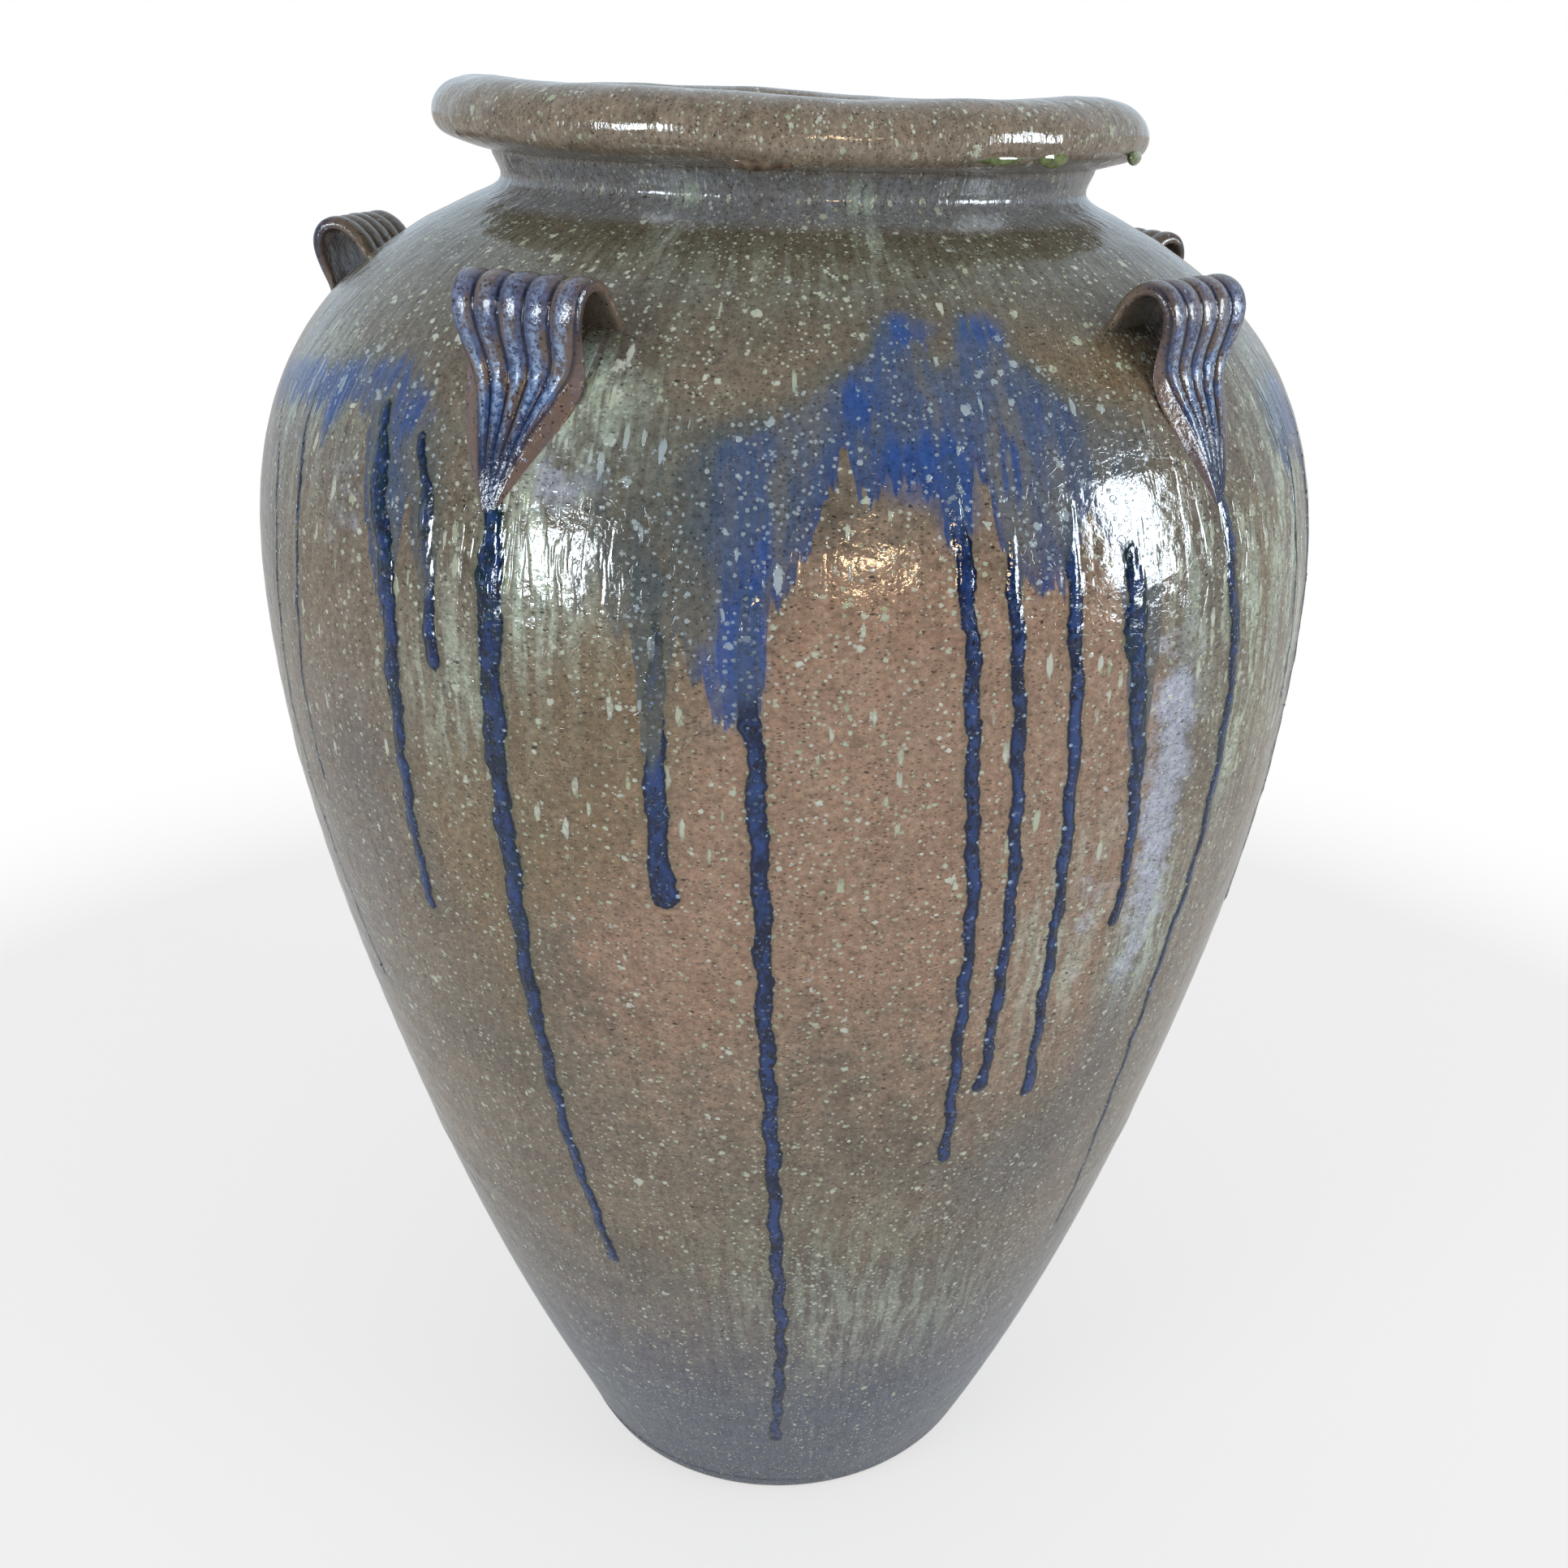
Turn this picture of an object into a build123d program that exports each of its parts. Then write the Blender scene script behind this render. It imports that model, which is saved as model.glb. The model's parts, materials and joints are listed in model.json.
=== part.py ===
"""Tall stoneware storage jar with a rolled lip and five ribbed strap lugs on its shoulder.

The jar is built the way a potter builds one: a clay slab for the floor, three thrown wall
sections, a neck collar and a rolled lip, luted together on V shaped seams, and five strap
lugs that are pressed onto the shoulder. Origin at the centre of the foot, +Z up, the
front of the jar facing -Y. Lengths are in millimetres, angles in degrees.
"""

import os
from build123d import *

# Overall sizes of the pot
foot_radius = 112.0
foot_edge_radius = 9.0
belly_radius = 240.0
belly_height = 485.0
shoulder_rise = 170.0
wall_thickness = 9.0

# Floor and luted seams
floor_thickness = 14.0
lower_seam_height = 225.0
middle_seam_drop = 61.0
shoulder_seam_drop = 9.0
seam_ridge = 2.5

# Neck and lip
mouth_radius = 116.0
mouth_bore_length = 34.0
neck_wall = 10.5
neck_height = 19.0
neck_waist_rise = 9.0
neck_flare = 3.5
shoulder_top_spread = 14.5
lip_overhang = 22.5
lip_height = 26.0
lip_bore_rise = 14.0

# Strap lugs
lug_width = 53.0
lug_root_drop = 31.0
strap_thickness = 3.4
rib_count = 5
rib_height = 2.2
eye_run = 20.0
eye_rise = 21.0
tail_run = 52.0
tail_lean = 4.5
tail_sink = 1.6
flank_width = 8.0
slip_joint = 0.15

# Where each lug sits round the jar, from the front towards +X, as it was set by eye
lug_azimuths = {
    "lug_front_left": -25.8,
    "lug_front_right": 44.5,
    "lug_right_back": 121.0,
    "lug_back": 190.0,
    "lug_left_back": -100.5,
}

# One overrun serves every cut
cut_overrun = 6.0

# Heights and radii that follow from the sizes above
shoulder_top_height = belly_height + shoulder_rise
neck_waist_radius = mouth_radius + neck_wall
shoulder_top_radius = neck_waist_radius + shoulder_top_spread
neck_top_height = shoulder_top_height + neck_height
neck_top_radius = neck_waist_radius + neck_flare
bore_top_height = neck_top_height + lip_bore_rise
bore_bottom_height = bore_top_height - mouth_bore_length

# Outline of the wall between foot and belly: share of the rise, share of the spread
lower_outline_shares = (
    (0.0, 0.0),
    (0.058, 0.095),
    (0.26, 0.392),
    (0.577, 0.747),
    (0.80, 0.928),
    (1.0, 1.0),
)

# Outline between belly and shoulder top: share of the rise, share of the draw in
upper_outline_shares = (
    (0.318, 0.032),
    (0.565, 0.159),
    (0.771, 0.40),
    (0.935, 0.777),
    (1.0, 1.0),
)

# Outline of the lip from the neck's edge over its crown: share of the overhang, share of
# the lip's height
lip_shares = (
    (0.55, 0.09),
    (0.92, 0.25),
    (1.0, 0.48),
    (0.80, 0.82),
    (0.20, 1.0),
    (-0.36, 0.88),
)

# Stations of the lug's inner face over the eye: share of the eye's run down the shoulder,
# share of its rise, share of the lug's width, share of the smeared flank
arch_shares = (
    (0.0, -0.3, 1.0, 0.0),
    (-0.08, 0.12, 1.0, 0.0),
    (-0.14, 0.5, 1.0, 0.0),
    (-0.08, 0.82, 1.0, 0.0),
    (0.16, 1.0, 1.0, 0.0),
    (0.42, 0.92, 0.99, 0.0),
    (0.61, 0.66, 0.94, 0.0),
    (0.80, 0.36, 0.87, 0.1),
    (1.02, 0.06, 0.77, 0.45),
)

# Stations of the tail below the eye: share of the tail's run, share of its sink,
# share of the lug's width, share of the smeared flank
tail_shares = (
    (0.14, -0.7, 0.65, 0.85),
    (0.38, -1.0, 0.45, 1.0),
    (0.66, -1.0, 0.26, 0.75),
    (0.88, -1.2, 0.13, 0.4),
    (1.0, -2.2, 0.07, 0.15),
)


def outline_points():
    """Points of the outer wall, from the foot up to the top of the shoulder."""
    spread = belly_radius - foot_radius
    draw_in = belly_radius - shoulder_top_radius
    below = [
        (foot_radius + spread * out_share, belly_height * up_share)
        for up_share, out_share in lower_outline_shares
    ]
    above = [
        (belly_radius - draw_in * in_share, belly_height + shoulder_rise * up_share)
        for up_share, in_share in upper_outline_shares
    ]
    return below + above


outer_curve = Edge.make_spline([Vector(radius, height) for radius, height in outline_points()])


def length_at_height(height):
    """Distance along the outer wall, measured from the foot, where it reaches a height."""
    low = 0.0
    high = outer_curve.length
    while high - low > high / 1e9:
        middle = (low + high) / 2
        if outer_curve.position_at(middle, position_mode=PositionMode.LENGTH).Y < height:
            low = middle
        else:
            high = middle
    return low


def wall_frame(length):
    """Point, upward tangent and outward normal of the outer wall at a distance from the foot."""
    point = outer_curve.position_at(length, position_mode=PositionMode.LENGTH)
    upward = outer_curve.tangent_at(length, position_mode=PositionMode.LENGTH)
    outward = Vector(upward.Y, -upward.X)
    return point, upward, outward


def inner_wall_points():
    """Points of the inner wall, one wall thickness inside the outer curve."""
    count = len(lower_outline_shares) + len(upper_outline_shares)
    points = []
    for index in range(count):
        point, _, outward = wall_frame(outer_curve.length * index / (count - 1))
        points.append(point - outward * wall_thickness)
    return points


def seam_line(height):
    """Inner end, V ridge and outer end of the luted seam at a height of the outer wall."""
    point, upward, outward = wall_frame(length_at_height(height))
    inner = point - outward * (wall_thickness + cut_overrun)
    ridge = point - outward * (wall_thickness / 2) + upward * seam_ridge
    outer = point + outward * cut_overrun
    return [inner, ridge, outer]


# The pot below its lip as if it were solid, which also trims the lugs to their seats
with BuildSketch(Plane.XZ) as envelope_section:
    with BuildLine():
        outside = Spline(*outline_points())
        waist = (neck_waist_radius, shoulder_top_height + neck_waist_rise)
        neck_edge = (neck_top_radius, neck_top_height)
        Spline(outside @ 1, waist, neck_edge, tangents=(outside % 1, (neck_flare, neck_height)))
        Polyline(neck_edge, (0, neck_top_height), (0, 0), outside @ 0)
    make_face()

# The wall alone, with the hollow taken out from the ground plane up to the mouth
with BuildSketch(Plane.XZ) as wall_section:
    add(envelope_section.sketch_local)
    with BuildLine(mode=Mode.PRIVATE) as hollow:
        inside = Spline(*inner_wall_points())
        bore_bottom = (mouth_radius, bore_bottom_height)
        Spline(inside @ 1, bore_bottom, tangents=(inside % 1, (0, 1)))
        above_neck = neck_top_height + cut_overrun
        Polyline(
            bore_bottom,
            (mouth_radius, above_neck),
            (0, above_neck),
            (0, (inside @ 0).Y),
            inside @ 0,
        )
    make_face(hollow.line, mode=Mode.SUBTRACT)

far_radius = belly_radius + lug_width


def band_outline(lower_seam, upper_seam):
    """Closed outline of the space between two seams, from the jar's axis outward."""
    return [
        Vector(0, lower_seam[0].Y),
        *lower_seam,
        Vector(far_radius, lower_seam[-1].Y),
        Vector(far_radius, upper_seam[-1].Y),
        *reversed(upper_seam),
        Vector(0, upper_seam[0].Y),
    ]


# Floor slab, a bat of clay with the foot's rounded edge and a V ridge for the first section
floor_edge, _, _ = wall_frame(length_at_height(floor_thickness))
floor_seam = [
    floor_edge - Vector(wall_thickness + cut_overrun, 0),
    floor_edge + Vector(-wall_thickness / 2, seam_ridge),
    floor_edge + Vector(cut_overrun, 0),
]
with BuildPart() as foot_slab:
    with BuildSketch(Plane.XZ):
        add(envelope_section.sketch_local)
        with BuildLine(mode=Mode.PRIVATE) as slab_space:
            Polyline(
                (0, -cut_overrun),
                (far_radius, -cut_overrun),
                (far_radius, floor_seam[-1].Y),
                *reversed(floor_seam),
                (0, floor_seam[0].Y),
                close=True,
            )
        make_face(slab_space.line, mode=Mode.INTERSECT)
    revolve(axis=Axis.Z)
    foot_edge = foot_slab.edges().filter_by(GeomType.CIRCLE).group_by(Axis.Z)[0]
    fillet(foot_edge, foot_edge_radius)

foot_slab.part.label = "foot_slab"


def thrown_section(name, lower_seam, upper_seam):
    """One thrown ring of wall between two seams."""
    with BuildPart() as section:
        with BuildSketch(Plane.XZ):
            add(wall_section.sketch_local)
            with BuildLine(mode=Mode.PRIVATE) as band:
                Polyline(*band_outline(lower_seam, upper_seam), close=True)
            make_face(band.line, mode=Mode.INTERSECT)
        revolve(axis=Axis.Z)
    section.part.label = name
    return section


lower_seam = seam_line(lower_seam_height)
middle_seam = seam_line(belly_height - middle_seam_drop)
shoulder_seam = seam_line(shoulder_top_height - shoulder_seam_drop)
neck_seam = [
    Vector(mouth_radius - cut_overrun, neck_top_height),
    Vector(neck_top_radius + cut_overrun, neck_top_height),
]

lower_wall = thrown_section("lower_wall", floor_seam, lower_seam)
middle_wall = thrown_section("middle_wall", lower_seam, middle_seam)
shoulder_wall = thrown_section("shoulder_wall", middle_seam, shoulder_seam)
neck_collar = thrown_section("neck_collar", shoulder_seam, neck_seam)

# Rolled lip, a thick coil turned outward over the neck
with BuildPart() as rim_roll:
    with BuildSketch(Plane.XZ):
        with BuildLine():
            roll_points = [
                (neck_top_radius + lip_overhang * out_share, neck_top_height + lip_height * up_share)
                for out_share, up_share in lip_shares
            ]
            bore_top = (mouth_radius, bore_top_height)
            Spline(neck_edge, *roll_points, bore_top)
            Polyline(bore_top, (mouth_radius, neck_top_height), neck_edge)
        make_face()
    revolve(axis=Axis.Z)

rim_roll.part.label = "rim_roll"


# Lugs, each a strap pulled with ribs and folded over a space for a cord
root_length = length_at_height(shoulder_top_height - lug_root_drop)


def strap_face_point(run, standoff):
    """Point of the lug's inner face, a run down the shoulder from the root and a standoff out."""
    point, _, outward = wall_frame(root_length - run)
    return point + outward * standoff


def lug_stations():
    """Inner face point, lean, rib half width and flank of each station down the strap."""
    stations = []
    for run_share, rise_share, width_share, flank_share in arch_shares:
        point = strap_face_point(eye_run * run_share, eye_rise * rise_share)
        stations.append((point, 0.0, width_share, flank_share))
    for run_share, sink_share, width_share, flank_share in tail_shares:
        point = strap_face_point(eye_run + tail_run * run_share, tail_sink * sink_share)
        stations.append((point, tail_lean * run_share, width_share, flank_share))
    return stations


def strap_outline(half_width, flank):
    """Cross section of the strap: smeared flanks, a flat inner face and rounded ribs outside."""
    rib_pitch = 2 * half_width / rib_count
    height_share = min(1.0, 2 * half_width / (lug_width / 2))
    with BuildLine() as outline:
        for rib in range(rib_count):
            left = -half_width + rib * rib_pitch
            ThreePointArc(
                (left, strap_thickness),
                (left + rib_pitch / 2, strap_thickness + rib_height * height_share),
                (left + rib_pitch, strap_thickness),
            )
        Polyline(
            (half_width, strap_thickness),
            (half_width + flank, 0),
            (-half_width - flank, 0),
            (-half_width, strap_thickness),
        )
    return outline


stations = lug_stations()
strap_path = Edge.make_spline([point for point, _, _, _ in stations])

# One lug at the front, before it is turned to its place
with BuildPart() as front_lug:
    for point, lean, width_share, flank_share in stations:
        along = strap_path.tangent_at(strap_path.param_at_point(point))
        station_plane = Plane(
            origin=(-lean, -point.X, point.Y),
            x_dir=(1, 0, 0),
            z_dir=(0, -along.X, along.Y),
        )
        with BuildSketch(station_plane):
            outline = strap_outline(lug_width * width_share / 2, flank_width * flank_share)
            make_face(outline.line)
    loft()
    with BuildSketch(Plane.XZ):
        add(envelope_section.sketch_local)
    revolve(axis=Axis.Z, mode=Mode.SUBTRACT)

seated_lug = front_lug.solids().sort_by(SortBy.VOLUME)[-1]

lugs = []
for name, azimuth in lug_azimuths.items():
    with BuildPart() as lug:
        with Locations(Rotation(0, 0, azimuth)):
            with Locations((0, -slip_joint, slip_joint)):
                add(seated_lug)
    lug.part.label = name
    lugs.append(lug)

os.makedirs("parts", exist_ok=True)
for piece in (foot_slab, lower_wall, middle_wall, shoulder_wall, neck_collar, rim_roll, *lugs):
    export_step(piece.part, f"parts/{piece.part.label}.step")
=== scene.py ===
# %% [markdown]
# # A tall stoneware jar with a running blue glaze
#
# The jar is a potter's storage jar: a narrow foot, a wide shoulder, a rolled lip and five ribbed
# strap lugs that once held the cord of a cover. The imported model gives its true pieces. This
# file makes the fired surface: the uneven thrown wall, the runs of blue glaze that stand proud
# of it, the pulled ribs of the lugs and the glassy speckled skin over everything.

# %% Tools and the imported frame
import json
import math
import bmesh
import bpy
import numpy as np
from mathutils import Matrix, Vector

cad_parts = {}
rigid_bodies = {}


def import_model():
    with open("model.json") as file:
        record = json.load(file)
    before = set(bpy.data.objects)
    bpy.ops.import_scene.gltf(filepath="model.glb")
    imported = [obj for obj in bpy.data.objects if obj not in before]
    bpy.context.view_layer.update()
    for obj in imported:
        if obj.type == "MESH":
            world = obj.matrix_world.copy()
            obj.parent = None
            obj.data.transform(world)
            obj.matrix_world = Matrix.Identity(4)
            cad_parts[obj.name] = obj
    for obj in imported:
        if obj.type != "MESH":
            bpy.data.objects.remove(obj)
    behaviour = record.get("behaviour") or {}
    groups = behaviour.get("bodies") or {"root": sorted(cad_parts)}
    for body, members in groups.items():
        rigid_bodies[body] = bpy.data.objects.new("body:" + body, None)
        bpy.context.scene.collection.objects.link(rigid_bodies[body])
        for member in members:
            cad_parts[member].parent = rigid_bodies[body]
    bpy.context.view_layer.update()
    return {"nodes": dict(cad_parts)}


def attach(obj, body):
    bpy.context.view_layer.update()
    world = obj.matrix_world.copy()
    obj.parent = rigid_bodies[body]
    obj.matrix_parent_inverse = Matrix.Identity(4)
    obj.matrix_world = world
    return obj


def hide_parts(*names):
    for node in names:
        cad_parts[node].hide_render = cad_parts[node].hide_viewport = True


for leftover in list(bpy.data.objects):
    bpy.data.objects.remove(leftover)
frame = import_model()


def place_object(name, data):
    """A new object in the scene."""
    made = bpy.data.objects.new(name, data)
    bpy.context.scene.collection.objects.link(made)
    return made


print("packed pieces:", ", ".join(sorted(frame["nodes"])))

# %% [markdown]
# ## The camera
#
# The picture was taken from close by, level with the lip and tilted down, so the jar tapers
# strongly towards its foot. A long lens from far away would be easier to set up, but it would
# lose that taper. The camera therefore stands at the distance that the ellipses of the lip and
# the foot give, with a small shift because the picture is cut off centre.

# %% Camera
picture_px = 1932
focal_px = 1948.0
axis_px = Vector((1079.1, 1004.7))
eye = Vector((0.0, -0.7473, 0.7031))
yaw = math.radians(3.46)
pitch = math.radians(24.77)
roll = math.radians(2.11)

right = Vector((math.cos(yaw), -math.sin(yaw), 0.0))
forward = Vector((math.sin(yaw) * math.cos(pitch), math.cos(yaw) * math.cos(pitch), -math.sin(pitch)))
above = right.cross(forward)
side_axis = right * math.cos(roll) + above * math.sin(roll)
top_axis = above * math.cos(roll) - right * math.sin(roll)

camera_data = bpy.data.cameras.new("camera")
camera_data.sensor_width = 36.0
camera_data.lens = camera_data.sensor_width * focal_px / picture_px
camera_data.shift_x = (picture_px / 2 - axis_px.x) / picture_px
camera_data.shift_y = (axis_px.y - picture_px / 2) / picture_px
camera_data.clip_start = 0.02
camera = place_object("camera", camera_data)
camera_turn = Matrix((side_axis, top_axis, -forward)).transposed().to_4x4()
camera.matrix_world = Matrix.Translation(eye) @ camera_turn
bpy.context.scene.camera = camera
bpy.context.scene.view_settings.view_transform = "Standard"
print("lens", round(camera_data.lens, 2), "mm, eye at", tuple(round(v, 3) for v in eye))

# %% [markdown]
# ## Helpers for node trees
#
# Every finish and every geometry tree below is built from nodes. Writing each node out by hand
# takes many lines, so small helpers add a node, set its inputs by name and hand back the socket
# that the next node needs.


# %% Node helpers
def add_node(tree, kind, inputs=(), **settings):
    """Adds a node. An input's value is a number, a colour or another node's socket."""
    made = tree.nodes.new(kind)
    for name, value in settings.items():
        setattr(made, name, value)
    for name, value in dict(inputs).items():
        if isinstance(value, bpy.types.NodeSocket):
            tree.links.new(value, made.inputs[name])
        else:
            made.inputs[name].default_value = value
    return made


def calc(tree, operation, *values, clamp=False):
    """One sum on numbers or sockets."""
    inputs = dict(enumerate(values))
    return add_node(tree, "ShaderNodeMath", inputs, operation=operation, use_clamp=clamp).outputs[0]


def calc_vector(tree, operation, *values):
    """One sum on vectors. A single number fills the scale input."""
    inputs = {
        ("Scale" if operation == "SCALE" and place == 1 else place): value
        for place, value in enumerate(values)
    }
    node = add_node(tree, "ShaderNodeVectorMath", inputs, operation=operation)
    return node.outputs["Value" if operation in ("DOT_PRODUCT", "LENGTH") else "Vector"]


def product(tree, *values):
    """The product of two or more numbers or sockets."""
    total = values[-1]
    for value in values[-2::-1]:
        total = calc(tree, "MULTIPLY", value, total)
    return total


def scaled(tree, value, by, plus):
    """A value times a second one, plus a third."""
    return calc(tree, "MULTIPLY_ADD", value, by, plus)


# %% [markdown]
# The others are built on these: a soft step, noise of a given size, a paint laid over a colour.
# Each is short, but each comes back dozens of times in the finishes.


# %% Helpers for colour and noise
def step(tree, value, low, high, to_low=0.0, to_high=1.0):
    """Soft step: to_low up to low, to_high from high on."""
    inputs = {"Value": value, "From Min": low, "From Max": high, "To Min": to_low, "To Max": to_high}
    return add_node(tree, "ShaderNodeMapRange", inputs, interpolation_type="SMOOTHSTEP").outputs["Result"]


def colour_mix(tree, share, first, second):
    """Colour between first and second."""
    inputs = {0: share, 6: first, 7: second}
    return add_node(tree, "ShaderNodeMix", inputs, data_type="RGBA").outputs[2]


def cloud(tree, vector, size, detail=3.0, roughness=0.55):
    """Noise between 0 and 1 whose blotches are about size metres wide."""
    inputs = {"Vector": vector, "Scale": 1 / size, "Detail": detail, "Roughness": roughness}
    return add_node(tree, "ShaderNodeTexNoise", inputs).outputs["Fac"]


def paint(code):
    """A colour from its six figure screen code, as the linear values that nodes take."""
    levels = [int(code[place : place + 2], 16) / 255 for place in (0, 2, 4)]
    return tuple(v / 12.92 if v <= 0.04045 else ((v + 0.055) / 1.055) ** 2.4 for v in levels) + (1.0,)


def nudged(tree, value, noise, reach):
    """A value moved up and down by noise, by up to half of reach."""
    return scaled(tree, calc(tree, "SUBTRACT", noise, 0.5), reach, value)


def lay(tree, colour, code, *shares):
    """Lays a paint over a colour, as thickly as the shares say together."""
    return colour_mix(tree, product(tree, *shares), colour, paint(code))


print("red clay in linear values:", tuple(round(v, 3) for v in paint("a5614a")))

# %% [markdown]
# ## The studio
#
# The floor is a wide pale sheet. A bare white floor would swallow the jar's shadow and a lit one
# would end in a grey horizon, so the camera sees a mix: mostly white near the jar, with some of
# the shadow left in it, and all white further off.

# %% Floor
floor_reach = 40.0
floor_shadow_share = 0.35
white_from, white_to = 0.35, 1.1

floor_mesh = bpy.data.meshes.new("floor")
floor_corners = [(x * floor_reach, y * floor_reach, 0) for x, y in ((-1, -1), (1, -1), (1, 1), (-1, 1))]
floor_mesh.from_pydata(floor_corners, [], [(0, 1, 2, 3)])
floor = place_object("floor", floor_mesh)

floor_paint = bpy.data.materials.new("pale_floor")
floor_paint.use_nodes = True
tree = floor_paint.node_tree
tree.nodes.clear()
lit = add_node(tree, "ShaderNodeBsdfDiffuse", {"Color": (0.86, 0.86, 0.86, 1.0)}).outputs[0]
glow = add_node(tree, "ShaderNodeEmission", {"Color": (1.0, 1.0, 1.0, 1.0), "Strength": 1.0}).outputs[0]
rays = add_node(tree, "ShaderNodeLightPath")
seen_white = product(tree, rays.outputs["Is Camera Ray"], 1 - floor_shadow_share)
distance = calc_vector(tree, "LENGTH", add_node(tree, "ShaderNodeTexCoord").outputs["Object"])
far_white = product(tree, step(tree, distance, white_from, white_to), rays.outputs["Is Camera Ray"])
share = calc(tree, "MAXIMUM", seen_white, far_white)
mixed = add_node(tree, "ShaderNodeMixShader", {0: share, 1: lit, 2: glow}).outputs[0]
add_node(tree, "ShaderNodeOutputMaterial", {"Surface": mixed})
floor_mesh.materials.append(floor_paint)
print("floor is", 2 * floor_reach, "m wide and all white from", white_to, "m")

# %% [markdown]
# Light comes from all round. The camera sees the room as pure white, and matt surfaces are lit
# by a softer one. A glaze also mirrors the room, so its glossy rays see a third: dim in front,
# where the photographer stands, bright behind the jar, and a little cool.

# %% Room
room_light = 0.62
dim_room = 0.12
back_wall = 0.85
cool_gloss = (0.85, 0.99, 1.12, 1.0)
world = bpy.data.worlds.new("studio")
world.use_nodes = True
tree = world.node_tree
tree.nodes.clear()
rays = add_node(tree, "ShaderNodeLightPath")
seen = calc(tree, "MAXIMUM", rays.outputs["Is Camera Ray"], rays.outputs["Is Transmission Ray"])
seen = calc(tree, "MAXIMUM", seen, rays.outputs["Is Glossy Ray"])
strength = scaled(tree, seen, 1.0 - room_light, room_light)
ray_way = add_node(tree, "ShaderNodeTexCoord").outputs["Generated"]
way_back = add_node(tree, "ShaderNodeSeparateXYZ", {"Vector": ray_way}).outputs["Y"]
shade = step(tree, way_back, -0.5, 1.0, dim_room, back_wall)
in_gloss = calc(tree, "SUBTRACT", rays.outputs["Is Glossy Ray"], rays.outputs["Is Camera Ray"], clamp=True)
change = product(tree, in_gloss, calc(tree, "SUBTRACT", shade, 1.0))
strength = product(tree, strength, calc(tree, "ADD", 1.0, change))
tint = colour_mix(tree, in_gloss, (1.0, 1.0, 1.0, 1.0), cool_gloss)
sky = add_node(tree, "ShaderNodeBackground", {"Color": tint, "Strength": strength}).outputs[0]
add_node(tree, "ShaderNodeOutputWorld", {"Surface": sky})
bpy.context.scene.world = world
print("room light", room_light, "and mirrored from", dim_room, "in front to", back_wall, "behind")

# %% [markdown]
# Two tall windows stand low on the left and on the right. Each is a pair of lamps: one lights
# the clay, and its twin is seen only by glossy rays. A window is many times brighter than the
# wall that it lights, and a glaze shows that brightness while the clay below must stay at its
# own colour. A small warm lamp makes the glint in the middle of the belly.


# %% Windows
def window(name, aim, bearing, rise, distance, width, height, power, glossy_only=False):
    """A tall soft lamp. Bearing turns from the front of the jar towards +X, rise is its angle up."""
    data = bpy.data.lights.new(name, "AREA")
    data.shape = "RECTANGLE"
    data.size = width
    data.size_y = height
    data.energy = power
    lamp = place_object(name, data)
    turn, lift = math.radians(bearing), math.radians(rise)
    way = Vector((math.sin(turn) * math.cos(lift), -math.cos(turn) * math.cos(lift), math.sin(lift)))
    lamp.location = Vector(aim) + way * distance
    lamp.rotation_mode = "QUATERNION"
    lamp.rotation_quaternion = way.to_track_quat("Z", "Y")
    lamp.visible_camera = False
    if glossy_only:
        lamp.visible_diffuse = False
    else:
        lamp.visible_glossy = False
    return lamp


left_glint = (-0.082, -0.222, 0.556)
right_glint = (0.120, -0.196, 0.564)
warm_glint = (0.024, -0.232, 0.554)
cool_window = (0.82, 0.92, 1.0)
warm_window = (1.0, 0.72, 0.42)
window("window_left", left_glint, -49, 22, 1.9, 0.7, 1.0, 9.0)
window("window_right", right_glint, 62, 22, 2.0, 0.9, 1.2, 11.0)
window("glint_left", left_glint, -49, 9.5, 1.9, 0.46, 0.55, 40.0, glossy_only=True)
window("glint_right", right_glint, 75, 11, 2.0, 0.6, 0.95, 60.0, glossy_only=True)
for name in ("glint_left", "glint_right"):
    bpy.data.objects[name].data.color = cool_window
warm_lamp = window("glint_warm", warm_glint, 14.7, 14.5, 2.4, 0.5, 0.16, 14.0, glossy_only=True)
warm_lamp.data.color = warm_window
print("lamps:", ", ".join(sorted(light.name for light in bpy.data.lights)))

# %% [markdown]
# ## The jar's outline
#
# A thrown pot is a shape of rotation, so one outline says it all. It is written as a few
# heights and radii in metres and as shares between them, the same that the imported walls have,
# and a cubic curve runs smoothly through them. Reading the outline back from the packed
# triangles would also work, but their flats would show as bands in a glossy glaze.

# %% Sizes of the pot
foot_radius = 0.112
foot_edge_radius = 0.009
belly_radius = 0.240
belly_height = 0.485
shoulder_top_radius = 0.141
shoulder_top_height = 0.655
wall_thickness = 0.009
floor_thickness = 0.014
seam_heights = {"lower_seam": 0.225, "middle_seam": 0.424, "shoulder_seam": 0.646}
seam_ridge = 0.0025
neck_waist = (0.1265, 0.664)
neck_edge = (0.130, 0.674)
neck_flare = (3.5, 19.0)
mouth_radius = 0.116
bore_top_height = 0.688
bore_bottom_height = 0.654
lip_radius = 0.1525
lip_height = 0.026

lower_outline_shares = ((0, 0), (0.058, 0.095), (0.26, 0.392), (0.577, 0.747), (0.80, 0.928), (1, 1))
upper_outline_shares = ((0.318, 0.032), (0.565, 0.159), (0.771, 0.40), (0.935, 0.777), (1, 1))
lip_shares = ((0.55, 0.09), (0.92, 0.25), (1, 0.48), (0.80, 0.82), (0.20, 1), (-0.36, 0.88))


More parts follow.
